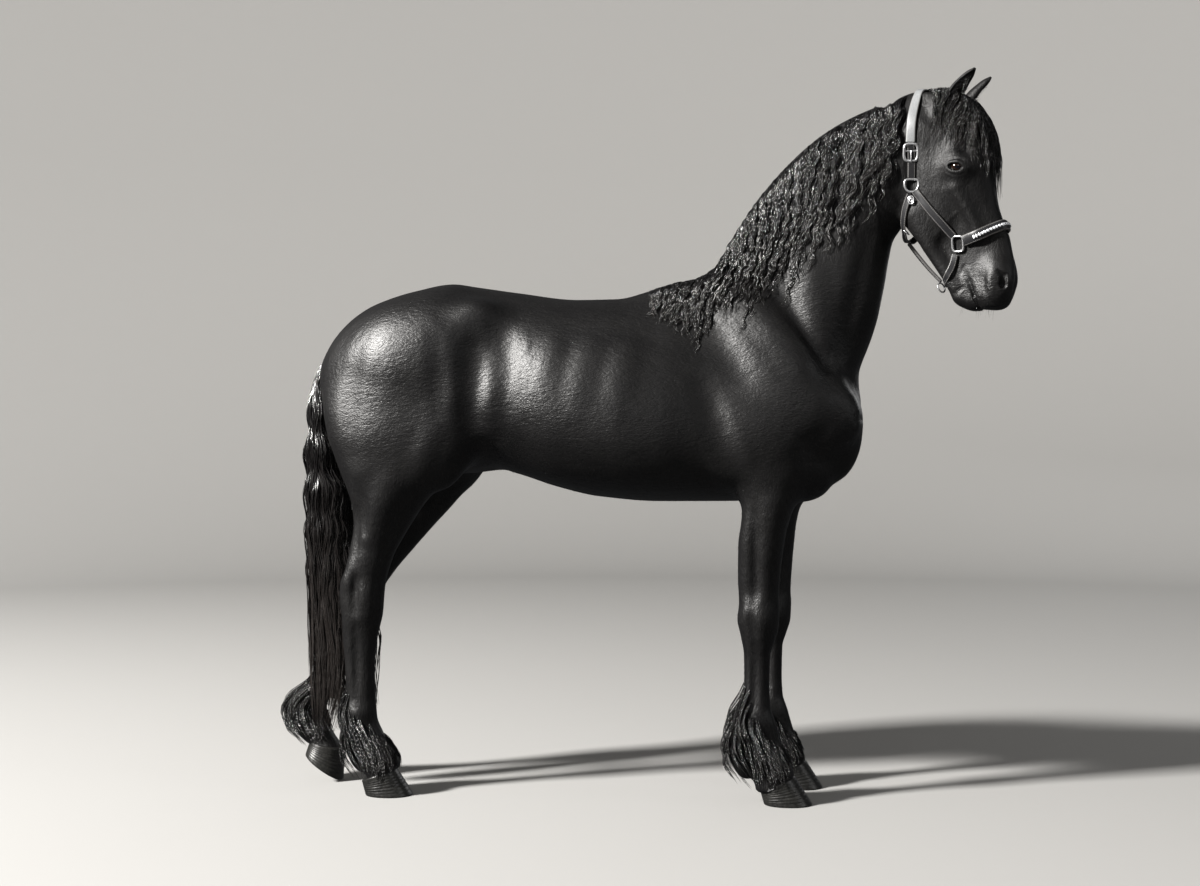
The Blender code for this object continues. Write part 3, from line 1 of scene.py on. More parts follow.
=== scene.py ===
"""Looks of the life-size Friesian horse: its skin, hair, hooves, eyes and headcollar.

Metres, Z up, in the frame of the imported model: X runs along the body towards the head, Y to the horse's
left, so the camera looks at the -Y side. The forms and outlines have their own origin, SHIFT behind the
frame's, and every piece is moved by SHIFT once it is made.
"""
import json
import math

import bmesh
import bpy
import numpy as np
from mathutils import Matrix, Vector

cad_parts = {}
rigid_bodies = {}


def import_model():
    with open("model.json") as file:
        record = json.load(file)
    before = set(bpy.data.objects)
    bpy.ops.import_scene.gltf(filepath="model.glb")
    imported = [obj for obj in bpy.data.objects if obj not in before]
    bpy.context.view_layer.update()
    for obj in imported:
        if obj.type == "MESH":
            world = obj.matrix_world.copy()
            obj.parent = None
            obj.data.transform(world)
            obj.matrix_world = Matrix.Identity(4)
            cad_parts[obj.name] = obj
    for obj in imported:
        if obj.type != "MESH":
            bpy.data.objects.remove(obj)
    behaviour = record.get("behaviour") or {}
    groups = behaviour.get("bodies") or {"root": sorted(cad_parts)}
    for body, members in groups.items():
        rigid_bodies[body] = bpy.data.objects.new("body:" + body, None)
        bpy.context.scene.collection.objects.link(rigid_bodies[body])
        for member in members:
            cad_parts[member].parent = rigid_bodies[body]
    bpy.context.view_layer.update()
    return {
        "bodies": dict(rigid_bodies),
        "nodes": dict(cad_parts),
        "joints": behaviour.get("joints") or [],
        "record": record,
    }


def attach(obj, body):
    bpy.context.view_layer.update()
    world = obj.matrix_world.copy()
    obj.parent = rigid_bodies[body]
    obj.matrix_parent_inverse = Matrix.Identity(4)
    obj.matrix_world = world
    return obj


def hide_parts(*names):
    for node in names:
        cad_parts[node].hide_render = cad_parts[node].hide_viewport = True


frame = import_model()

SHIFT = Vector((0.03, 0.0, 0.0))
SKIN_VOXEL = 0.009
HEAD_VOXEL = 0.0045

POLL = Vector((0.879, -0.08, 2.186))   # top of the skull, where the head hinges on the neck
HEAD_YAW = -25.0                # degrees, the head is turned towards the horse's right

EYE = (0.134, 0.0870, -0.240)   # in the head's own frame: forwards, sideways, up from the poll
EYE_RADIUS = 0.0215
EYE_AHEAD, EYE_DOWN = 0.42, 0.12   # how far the eye looks ahead and down for each metre sideways
SIDES = ((-1, "right"), (1, "left"))

HOOF_LENGTH = 0.150
HOOF_WIDTH = 0.134
CORONET_FRONT = (-0.058, 0.090)   # back from the toe and up, in the hoof's own side view
CORONET_HEEL = (-0.163, 0.046)
HOOF_NARROWS = 0.13             # share of its width that the hoof loses from the floor to the coronet
HOOVES = {                      # toe on the floor, and how far the heel is tipped up in degrees
    "foreleg_right": ((0.533, -0.142), 0.0),
    "foreleg_left": ((0.573, 0.135), 0.0),
    "hindleg_right": ((-0.724, -0.112), 0.0),
    "hindleg_left": ((-1.005, 0.108), 35.0),
}


# Frames

def head_frame():
    return Matrix.Translation(POLL) @ Matrix.Rotation(math.radians(HEAD_YAW), 4, "Z")


def hoof_frame(leg):
    (x, y), tip = HOOVES[leg]
    return Matrix.Translation((x, y, 0.0)) @ Matrix.Rotation(math.radians(tip), 4, "Y")


BODY = Matrix.Identity(4)
HEAD = head_frame()


def to_local(points, frame):
    inverse = np.array(frame.inverted())
    return points @ inverse[:3, :3].T + inverse[:3, 3]


def to_world(points, frame):
    matrix = np.array(frame)
    return np.asarray(points) @ matrix[:3, :3].T + matrix[:3, 3]


# Clay forms

def eased_between(at, places, values, slopes):
    """The smooth curve with the given slopes through the values at the places."""
    i = np.clip(np.searchsorted(places, at) - 1, 0, len(places) - 2)
    step = places[i + 1] - places[i]
    t = (at - places[i]) / step
    if values.ndim > 1:
        step, t = step[:, None], t[:, None]
    return ((1 + 2 * t) * (1 - t) ** 2 * values[i] + t * (1 - t) ** 2 * step * slopes[i]
            + t * t * (3 - 2 * t) * values[i + 1] + t * t * (t - 1) * step * slopes[i + 1])


def smooth_curve(points, count=160):
    """A dense table of the smooth curve, with no overshoot, through (place, value) points."""
    x, y = np.array(sorted(points), dtype=float).T
    rise = np.diff(y) / np.diff(x)
    slope = np.zeros_like(y)
    slope[0], slope[-1] = rise[0], rise[-1]
    product = rise[1:] * rise[:-1]
    total = rise[1:] + rise[:-1]
    rising = product > 0
    slope[1:-1][rising] = 2 * product[rising] / total[rising]
    at = np.linspace(x[0], x[-1], count)
    return at, eased_between(at, x, y, slope)


def as_curve(value):
    return smooth_curve(value) if isinstance(value, (list, tuple)) else (np.zeros(1), np.array([value]))


class Form:
    """A shape with a rough distance to its surface. Mirrored forms stand on both sides."""

    def __init__(self, frame, blend, mirror, carve):
        self.frame, self.blend, self.mirror, self.carve = frame, blend, mirror, carve

    def local(self, points):
        near = to_local(points, self.frame)
        if self.mirror:
            near[:, 1] = np.abs(near[:, 1])
        return near

    def rough_meshes(self):
        """The outer shape as point and face lists in world space, on both sides where mirrored."""
        points, faces = self.rough()
        sides = [(np.array(points), faces)]
        if self.mirror:
            other = np.array(points)
            other[:, 1] *= -1
            sides.append((other, [face[::-1] for face in faces]))
        return [(to_world(p, self.frame), f) for p, f in sides]


def tube_faces(rings, sides):
    faces = [tuple(range(sides))[::-1], tuple(range((rings - 1) * sides, rings * sides))]
    for ring in range(rings - 1):
        for side in range(sides):
            after = (side + 1) % sides
            faces.append((ring * sides + side, ring * sides + after,
                          (ring + 1) * sides + after, (ring + 1) * sides + side))
    return faces


class Ball(Form):
    """An ellipsoid at centre, with half sizes along its own axes, which tilt turns in degrees."""

    def __init__(self, centre, size, tilt=(0, 0, 0), frame=BODY, blend=0.03, mirror=True, carve=False):
        super().__init__(frame, blend, mirror, carve)
        self.centre, self.size = np.array(centre, float), np.array(size, float)
        turns = [Matrix.Rotation(math.radians(angle), 3, axis) for angle, axis in zip(tilt, "XYZ")]
        self.turn = np.array(turns[2] @ turns[1] @ turns[0])

    def distance(self, points):
        p = (self.local(points) - self.centre) @ self.turn
        near = np.linalg.norm(p / self.size, axis=1) + 1e-9
        slope = np.linalg.norm(p / self.size ** 2, axis=1) + 1e-9
        return near * (near - 1) / slope

    def rough(self, rings=14, sides=16):
        points = []
        for ring in range(rings):
            tall = math.pi * (ring + 0.5) / rings
            for side in range(sides):
                turn = math.tau * side / sides
                points.append((math.sin(tall) * math.cos(turn), math.sin(tall) * math.sin(turn),
                               -math.cos(tall)))
        return (np.array(points) * self.size) @ self.turn.T + self.centre, tube_faces(rings, sides)


class Limb(Form):
    """A rounded bar through (x, y, z, radius) points."""

    def __init__(self, stops, frame=BODY, blend=0.02, mirror=True, carve=False):
        super().__init__(frame, blend, mirror, carve)
        self.stops = np.array(stops, float)

    def distance(self, points):
        p = self.local(points)
        best = np.full(len(p), 1e3)
        for a, b in zip(self.stops[:-1], self.stops[1:]):
            along = b[:3] - a[:3]
            t = np.clip((p - a[:3]) @ along / (along @ along), 0, 1)
            radius = a[3] + (b[3] - a[3]) * t
            best = np.minimum(best, np.linalg.norm(p - a[:3] - t[:, None] * along, axis=1) - radius)
        return best

    def rough(self, sides=10):
        rings = []
        last = len(self.stops) - 1
        for index, stop in enumerate(self.stops):
            before, after = self.stops[max(index - 1, 0)], self.stops[min(index + 1, last)]
            along = Vector((after - before)[:3]).normalized()
            rings.append((Vector(stop[:3]), along, float(stop[3])))
        for end, way in ((0, -0.8), (-1, 0.8)):
            centre, along, radius = rings[end]
            cap = (centre + along * way * radius, along, radius / 2)
            rings.insert(0 if end == 0 else len(rings), cap)
        points = []
        for centre, along, radius in rings:
            side_way = along.orthogonal().normalized()
            up = along.cross(side_way)
            for side in range(sides):
                turn = math.tau * side / sides
                points.append(centre + (side_way * math.cos(turn) + up * math.sin(turn)) * radius)
        return np.array(points), tube_faces(len(rings), sides)


class Stack(Form):
    """Slices across a straight axis, each an oval between two outlines of the side view.

    low and high are (x, z) outlines, and the axis lies at angle degrees from +X in that view.
    width is the half width, side the sideways place of the middle, egg widens the high edge
    (or, below 0, the low one) and power squares the oval, each a number or a curve along the axis.
    """

    def __init__(self, low, high, width, side=0.0, egg=0.0, power=2.0, angle=0.0,
                 frame=BODY, blend=0.03, mirror=False, carve=False):
        super().__init__(frame, blend, mirror, carve)
        turn = math.radians(angle)
        self.axis = np.array([math.cos(turn), math.sin(turn)])
        self.across = np.array([-math.sin(turn), math.cos(turn)])
        self.low, self.high = ([(float(np.dot(p, self.axis)), float(np.dot(p, self.across))) for p in edge]
                               for edge in (low, high))
        self.start = max(min(self.low)[0], min(self.high)[0])
        self.end = min(max(self.low)[0], max(self.high)[0])
        self.edges = smooth_curve(self.low), smooth_curve(self.high)
        self.curves = [as_curve(value) for value in (width, side, egg, power)]

    def slice_at(self, s):
        (low_x, low_y), (high_x, high_y) = self.edges
        low, high = np.interp(s, low_x, low_y), np.interp(s, high_x, high_y)
        width, side, egg, power = (np.interp(s, x, y) for x, y in self.curves)
        return (low + high) / 2, np.maximum((high - low) / 2, 1e-3), width, side, egg, power

    def distance(self, points):
        p = self.local(points)
        flat = p[:, [0, 2]]
        s, t = flat @ self.axis, flat @ self.across
        middle, half, width, side, egg, power = self.slice_at(np.clip(s, self.start, self.end))
        v = (t - middle) / half
        wide = width * (1 + egg * np.clip(v, -1, 1))
        u = np.abs(p[:, 1] - side) / wide
        v = np.abs(v)
        reach = (u ** power + v ** power) ** (1 / power) + 1e-9
        slope = np.hypot((u / reach) ** (power - 1) / wide, (v / reach) ** (power - 1) / half)
        across = (reach - 1) / (slope + 1e-9)
        beyond = np.maximum(self.start - s, s - self.end)
        outside = np.hypot(np.maximum(across, 0), np.maximum(beyond, 0))
        return np.where(beyond > 0, outside, np.maximum(across, beyond))

    def rough(self, rings=48, sides=24):
        points = []
        for s in np.linspace(self.start, self.end, rings):
            middle, half, width, side, egg, power = (float(value) for value in self.slice_at(s))
            for index in range(sides):
                turn = math.tau * index / sides
                u, v = math.cos(turn), math.sin(turn)
                reach = (abs(u) ** power + abs(v) ** power) ** (-1 / power)
                u, v = u * reach, v * reach
                x, z = s * self.axis + (middle + v * half) * self.across
                points.append((x, side + u * width * (1 + egg * v), z))
        return np.array(points), [face[::-1] for face in tube_faces(rings, sides)]


def melt(a, b, blend):
    """The lower of two distances, rounded where they meet."""
    near = np.maximum(blend - np.abs(a - b), 0) / blend
    return np.minimum(a, b) - near * near * blend / 4


FAR = 0.5                       # the distance given to points beside no form
FORM_REACH = 0.10               # how far outside its box a form still counts


def field(points, forms):
    """Distance from each point to the skin round all the forms, below 0 inside."""
    total = np.full(len(points), FAR)
    for form in forms:
        near = np.all((points > form.box[0] - FORM_REACH) & (points < form.box[1] + FORM_REACH), axis=1)
        if not near.any():
            continue
        own = form.distance(points[near])
        if form.carve:
            total[near] = -melt(-total[near], own, form.blend)
        else:
            total[near] = melt(total[near], own, form.blend)
    return total


def slope_of(points, forms, step=0.001):
    """Distance and its gradient at each point."""
    here = field(points, forms)
    gradient = np.empty_like(points)
    for axis in range(3):
        moved = points.copy()
        moved[:, axis] += step
        gradient[:, axis] = (field(moved, forms) - here) / step
    return here, gradient


def outward(points, forms):
    """The skin's outward way at each point of an array of any shape."""
    _, gradient = slope_of(points.reshape(-1, 3), forms)
    return unit(gradient).reshape(points.shape)


def settle(points, forms, rounds=4, most=0.02, depth=0.0):
    """Moves points onto the skin, or to depth outside it."""
    for _ in range(rounds):
        here, gradient = slope_of(points, forms)
        steep = np.maximum((gradient ** 2).sum(axis=1), 0.2)
        move = -(here - depth) / steep
        points = points + np.clip(move, -most, most)[:, None] * gradient
    return points


def run_along(path):
    """How far along the path each of its points lies."""
    return np.concatenate([[0], np.cumsum(np.linalg.norm(np.diff(path, axis=0), axis=1))])


def spline_points(points, spacing, fine=200):
    """Evenly spaced points on a smooth curve through the given ones."""
    points = np.asarray(points)
    reach = run_along(points)
    count = max(3, int(round(reach[-1] / spacing)) + 1)
    smooth = eased_between(np.linspace(0, reach[-1], fine), reach, points, np.gradient(points, reach, axis=0))
    return smooth[np.linspace(0, fine - 1, count).round().astype(int)]


# The horse's own forms, outlines as (x, z) in the side view

BACK = [(-1.046, 1.330), (-1.030, 1.385), (-0.988, 1.460), (-0.922, 1.525), (-0.856, 1.563), (-0.724, 1.604),
        (-0.610, 1.624), (-0.528, 1.613), (-0.398, 1.594), (-0.204, 1.571), (-0.076, 1.573), (0.036, 1.594),
        (0.120, 1.610), (0.230, 1.600), (0.400, 1.520), (0.540, 1.380), (0.620, 1.270), (0.655, 1.190)]
BELLY = [(-1.046, 1.320), (-1.000, 1.150), (-0.900, 1.020), (-0.750, 0.990), (-0.620, 1.010), (-0.540, 1.022),
         (-0.470, 1.032), (-0.400, 1.015), (-0.269, 0.973), (-0.140, 0.944), (0.052, 0.929), (0.269, 0.930),
         (0.450, 0.938), (0.535, 0.962), (0.590, 1.005), (0.630, 1.070), (0.655, 1.180)]
TRUNK_WIDTH = [(-1.046, 0.030), (-1.020, 0.120), (-0.960, 0.190), (-0.880, 0.240), (-0.750, 0.280),
               (-0.600, 0.287), (-0.480, 0.275), (-0.380, 0.285), (-0.240, 0.315), (-0.080, 0.322),
               (0.060, 0.300), (0.200, 0.262), (0.350, 0.235), (0.480, 0.210), (0.580, 0.160), (0.630, 0.100),
               (0.655, 0.040)]
TRUNK_EGG = [(-1.046, 0.0), (-0.700, 0.0), (-0.400, -0.10), (-0.100, -0.20), (0.100, -0.38), (0.300, -0.42),
             (0.655, -0.10)]

CREST = [(-0.060, 1.460), (0.030, 1.550), (0.116, 1.594), (0.188, 1.629), (0.240, 1.687), (0.284, 1.764),
         (0.347, 1.859), (0.409, 1.935), (0.471, 1.999), (0.532, 2.052), (0.593, 2.094), (0.654, 2.126),
         (0.715, 2.152), (0.776, 2.170), (0.836, 2.180)]
THROAT = [(0.480, 1.110), (0.560, 1.150), (0.655, 1.250), (0.687, 1.357), (0.717, 1.435), (0.737, 1.500),
          (0.748, 1.553), (0.760, 1.615), (0.772, 1.690), (0.790, 1.755), (0.830, 1.810), (0.900, 1.900),
          (0.960, 2.010)]
NECK_ANGLE = 56.5
NECK_WIDTH = [(1.18, 0.130), (1.25, 0.150), (1.41, 0.160), (1.60, 0.138), (1.80, 0.112), (1.90, 0.102),
              (2.00, 0.096), (2.10, 0.090), (2.25, 0.080)]
NECK_SIDE = [(1.25, 0.0), (1.50, 0.0), (1.70, -0.020), (1.90, -0.048), (2.10, -0.072), (2.25, -0.082)]

FACE = [(0.040, 0.012), (0.105, -0.006), (0.155, -0.050), (0.190, -0.105), (0.210, -0.160), (0.217, -0.215),
        (0.221, -0.280), (0.230, -0.345), (0.247, -0.400), (0.268, -0.455), (0.280, -0.520), (0.279, -0.580),
        (0.262, -0.625), (0.232, -0.652), (0.195, -0.664)]
JAW = [(-0.020, -0.010), (-0.030, -0.080), (-0.036, -0.180), (-0.030, -0.300), (0.000, -0.400),
       (0.045, -0.480), (0.085, -0.550), (0.105, -0.600), (0.130, -0.638), (0.180, -0.660)]
FACE_ANGLE = -78.0
FACE_WIDTH = [(0.00, 0.058), (0.08, 0.074), (0.16, 0.087), (0.24, 0.095), (0.30, 0.089), (0.36, 0.076),
              (0.44, 0.060), (0.52, 0.049), (0.60, 0.047), (0.66, 0.043), (0.70, 0.028)]


def upright(curve):
    """A curve keyed by height, as a leg's slices run downwards."""
    return [(-z, value) for z, value in curve]


FORELEG_REAR = [(0.330, 1.100), (0.322, 1.000), (0.325, 0.930), (0.312, 0.860), (0.304, 0.800),
                (0.303, 0.700), (0.306, 0.620), (0.301, 0.570), (0.311, 0.520), (0.321, 0.460),
                (0.322, 0.400), (0.316, 0.320), (0.300, 0.268), (0.298, 0.245), (0.318, 0.200),
                (0.338, 0.155), (0.350, 0.110), (0.358, 0.040)]
FORELEG_FRONT = [(0.500, 1.100), (0.490, 1.000), (0.462, 0.920), (0.447, 0.815), (0.433, 0.722),
                 (0.426, 0.640), (0.430, 0.590), (0.428, 0.545), (0.415, 0.500), (0.402, 0.455),
                 (0.400, 0.360), (0.403, 0.300), (0.417, 0.255), (0.427, 0.220), (0.441, 0.175),
                 (0.458, 0.135), (0.474, 0.100), (0.480, 0.040)]


def foreleg(forward, side):
    """One foreleg from the elbow to the coronet, standing forward of the right one by forward."""
    slip = [(1.10, 0.3), (0.90, 0.8), (0.70, 1.0), (0.05, 1.0)]
    heights, shares = np.array(sorted(slip)).T

    def edge(points):
        return [(x + forward * float(np.interp(z, heights, shares)), z) for x, z in points]

    rear, front = edge(FORELEG_REAR), edge(FORELEG_FRONT)
    width = upright([(1.10, 0.060), (1.00, 0.074), (0.90, 0.070), (0.80, 0.058), (0.70, 0.047), (0.63, 0.046),
                     (0.565, 0.053), (0.50, 0.044), (0.45, 0.035), (0.36, 0.032), (0.30, 0.036),
                     (0.25, 0.044), (0.19, 0.037), (0.14, 0.045), (0.09, 0.057), (0.04, 0.060)])
    way = -1 if side < 0 else 1
    place = upright([(1.10, way * 0.165), (0.90, way * 0.160), (0.55, (way * 0.148 + side) / 2), (0.25, side),
                     (0.04, side)])
    return [
        Stack(rear, front, width, place, power=2.2, angle=-90, blend=0.05),
        Ball((0.392 + forward * 0.6, side * 1.10, 0.975), (0.072, 0.072, 0.120), (0, -4, 0), mirror=False,
             blend=0.05),
    ]


def hindleg(rear, front, side):
    """One hind leg from the stifle to the coronet, between its rear and front edges."""
    way = -1 if side < 0 else 1
    width = upright([(1.36, 0.060), (1.26, 0.105), (1.15, 0.122), (1.05, 0.108), (0.95, 0.086), (0.84, 0.064),
                     (0.745, 0.050), (0.65, 0.049), (0.58, 0.048), (0.50, 0.037), (0.40, 0.033),
                     (0.31, 0.036), (0.255, 0.045), (0.19, 0.037), (0.14, 0.045), (0.09, 0.055),
                     (0.04, 0.058)])
    place = upright([(1.30, way * 0.150), (1.05, way * 0.165), (0.84, way * 0.158), (0.65, way * 0.150),
                     (0.40, (side + way * 0.150) / 2), (0.20, side), (0.04, side)])
    return [Stack(rear, front, width, place, power=2.2, angle=-90, blend=0.05)]


STANDING_REAR = [(-0.900, 1.360), (-0.975, 1.270), (-0.988, 1.210), (-0.980, 1.150), (-0.953, 1.070),
                 (-0.925, 0.980), (-0.906, 0.910), (-0.902, 0.858), (-0.912, 0.790), (-0.930, 0.720),
                 (-0.949, 0.665), (-0.951, 0.630), (-0.945, 0.570), (-0.943, 0.500), (-0.938, 0.420),
                 (-0.936, 0.340), (-0.941, 0.272), (-0.938, 0.245), (-0.910, 0.195), (-0.884, 0.150),
                 (-0.874, 0.110), (-0.868, 0.040)]
STANDING_FRONT = [(-0.680, 1.360), (-0.570, 1.250), (-0.515, 1.160), (-0.520, 1.090), (-0.590, 1.010),
                  (-0.660, 0.945), (-0.733, 0.840), (-0.784, 0.745), (-0.806, 0.660), (-0.814, 0.580),
                  (-0.834, 0.490), (-0.843, 0.400), (-0.843, 0.310), (-0.840, 0.245), (-0.825, 0.205),
                  (-0.800, 0.160), (-0.774, 0.120), (-0.766, 0.100), (-0.766, 0.040)]
RESTING_REAR = [(-0.900, 1.360), (-0.975, 1.270), (-0.988, 1.210), (-0.985, 1.150), (-0.967, 1.070),
                (-0.948, 0.980), (-0.942, 0.900), (-0.952, 0.840), (-0.972, 0.770), (-1.002, 0.700),
                (-1.024, 0.655), (-1.030, 0.620), (-1.026, 0.575), (-1.032, 0.520), (-1.048, 0.460),
                (-1.072, 0.390), (-1.105, 0.325), (-1.150, 0.280), (-1.166, 0.250), (-1.160, 0.210),
                (-1.140, 0.170), (-1.122, 0.135), (-1.110, 0.080)]
RESTING_FRONT = [(-0.680, 1.360), (-0.570, 1.250), (-0.515, 1.160), (-0.520, 1.090), (-0.575, 1.010),
                 (-0.625, 0.935), (-0.715, 0.835), (-0.785, 0.755), (-0.840, 0.690), (-0.880, 0.630),
                 (-0.905, 0.570), (-0.928, 0.510), (-0.955, 0.450), (-0.990, 0.380), (-1.028, 0.310),
                 (-1.054, 0.265), (-1.062, 0.235), (-1.056, 0.195), (-1.034, 0.150), (-1.008, 0.110),
                 (-1.000, 0.080)]


TUFT_SIZE = (0.034, 0.040, 0.075)
TUFTS = {                       # the short hair under the locks: back from the toe and up
    "foreleg_right": (-0.222, 0.150),
    "foreleg_left": (-0.222, 0.150),
    "hindleg_right": (-0.180, 0.145),
    "hindleg_left": (-0.138, 0.210),
}


def body_forms():
    trunk = Stack(BELLY, BACK, TRUNK_WIDTH, egg=TRUNK_EGG, power=2.15, blend=0.03)
    neck = Stack(THROAT, CREST, NECK_WIDTH, NECK_SIDE, egg=-0.38, angle=NECK_ANGLE, blend=0.09)
    quarters = [
        Ball((-0.720, 0.130, 1.385), (0.225, 0.140, 0.155), (0, -20, 0), blend=0.08),
        Ball((-0.895, 0.115, 1.190), (0.095, 0.090, 0.230), (0, -7, 0), blend=0.05),
        Ball((-0.600, 0.190, 1.150), (0.085, 0.070, 0.180), (0, 8, 0), blend=0.06),
        Ball((-0.500, 0.195, 1.495), (0.055, 0.040, 0.050), blend=0.08),
        Ball((-0.452, 0.335, 1.435), (0.058, 0.050, 0.120), (0, 12, 0), blend=0.09, carve=True),
    ]
    shoulder = [
        Ball((0.390, 0.150, 1.370), (0.105, 0.070, 0.250), (16, -33, 0), blend=0.10),
        Ball((0.345, 0.190, 1.130), (0.140, 0.075, 0.140), (0, -20, 0), blend=0.06),
        Ball((0.575, 0.145, 1.200), (0.100, 0.080, 0.120), (0, -20, 0), blend=0.06),
        Ball((0.480, 0.110, 1.030), (0.120, 0.095, 0.095), (0, 18, 0), blend=0.05),
        Ball((0.600, 0.080, 1.140), (0.087, 0.078, 0.150), (0, 6, 0), blend=0.03),
        Ball((0.590, 0.0, 1.220), (0.095, 0.090, 0.130), (0, -10, 0), mirror=False, blend=0.05),
    ]
    forms = [trunk, neck] + quarters + shoulder
    forms += foreleg(0.0, HOOVES["foreleg_right"][0][1])
    (left_x, left_y), (right_x, _) = HOOVES["foreleg_left"][0], HOOVES["foreleg_right"][0]
    forms += foreleg(left_x - right_x, left_y)
    forms += hindleg(STANDING_REAR, STANDING_FRONT, HOOVES["hindleg_right"][0][1])
    forms += hindleg(RESTING_REAR, RESTING_FRONT, HOOVES["hindleg_left"][0][1])
    forms += [Ball((-0.545, 0.0, 1.092), (0.100, 0.045, 0.050), (0, 14, 0), mirror=False, blend=0.04)]
    for leg, ((x, y), _) in HOOVES.items():
        back, height = TUFTS[leg]
        forms.append(Ball((x + back, y, height), TUFT_SIZE, (0, -14, 0), mirror=False, blend=0.04))
    return forms


def head_forms():
    """The skull, jaws and muzzle, in the head's own frame."""
    skull = Stack(JAW, FACE, FACE_WIDTH, egg=[(0.0, 0.0), (0.2, 0.12), (0.45, -0.05), (0.70, 0.0)],
                  power=[(0.0, 2.1), (0.3, 2.5), (0.70, 2.1)], angle=FACE_ANGLE, frame=HEAD, blend=0.06)
    jaws = [
        Ball((0.022, 0.056, -0.310), (0.084, 0.031, 0.130), (0, -8, 0), HEAD, 0.04),
        Limb([(-0.006, 0.056, -0.375, 0.028), (0.035, 0.048, -0.470, 0.024), (0.086, 0.032, -0.560, 0.019),
              (0.118, 0.018, -0.620, 0.020)], HEAD, 0.04),
        Ball((-0.020, 0.052, -0.110), (0.055, 0.036, 0.080), (0, 0, 0), HEAD, 0.06),
        Ball((-0.030, 0.000, -0.032), (0.080, 0.050, 0.044), (0, 0, 0), HEAD, 0.04, False),
    ]
    face = [
        Ball((0.130, 0.077, -0.240), (0.043, 0.031, 0.038), (0, 0, 0), HEAD, 0.03),
        Limb([(0.125, 0.078, -0.305, 0.012), (0.158, 0.066, -0.365, 0.009), (0.190, 0.049, -0.440, 0.005)],
             HEAD, 0.035),
        Ball((0.092, 0.055, -0.050), (0.036, 0.026, 0.040), (0, 0, 0), HEAD, 0.04),
        Ball((0.165, 0.094, -0.172), (0.018, 0.014, 0.022), (0, 0, 0), HEAD, 0.03, True, True),
    ]
    muzzle = [
        Ball((0.240, 0.027, -0.572), (0.038, 0.029, 0.052), (0, -12, 0), HEAD, 0.04),
        Ball((0.218, 0.0, -0.624), (0.056, 0.047, 0.042), (0, 24, 0), HEAD, 0.03, False),
        Ball((0.152, 0.0, -0.638), (0.044, 0.038, 0.030), (0, 20, 0), HEAD, 0.016, False),
        Ball((0.126, 0.0, -0.622), (0.030, 0.030, 0.027), (0, 0, 0), HEAD, 0.02, False),
        Limb([(0.250, 0.058, -0.554, 0.004), (0.266, 0.052, -0.572, 0.011), (0.264, 0.049, -0.597, 0.0125)],
             HEAD, 0.006, True, True),
        Limb([(0.150, 0.054, -0.560, 0.005), (0.163, 0.047, -0.600, 0.005), (0.176, 0.037, -0.640, 0.005),
              (0.186, 0.018, -0.664, 0.004), (0.188, 0.0, -0.672, 0.004)], HEAD, 0.006, True, True),
    ]
    x, y, z = EYE
    rim = y + 0.0135
    lids = [
        Limb([(x - 0.028, rim - 0.010, z - 0.001, 0.005), (x - 0.015, rim + 0.000, z + 0.014, 0.006),
              (x + 0.005, rim + 0.001, z + 0.015, 0.006),
              (x + 0.027, rim - 0.014, z - 0.005, 0.005)], HEAD, 0.014),
        Limb([(x - 0.028, rim - 0.010, z - 0.001, 0.005), (x - 0.012, rim - 0.003, z - 0.016, 0.005),
              (x + 0.010, rim - 0.004, z - 0.017, 0.005),
              (x + 0.027, rim - 0.014, z - 0.005, 0.005)], HEAD, 0.014),
        Ball((x, y + 0.020, z - 0.001), (0.021, 0.014, 0.0105), (0, 10, 0), HEAD, 0.004, True, True),
    ]
    return [skull] + jaws + face + muzzle + lids


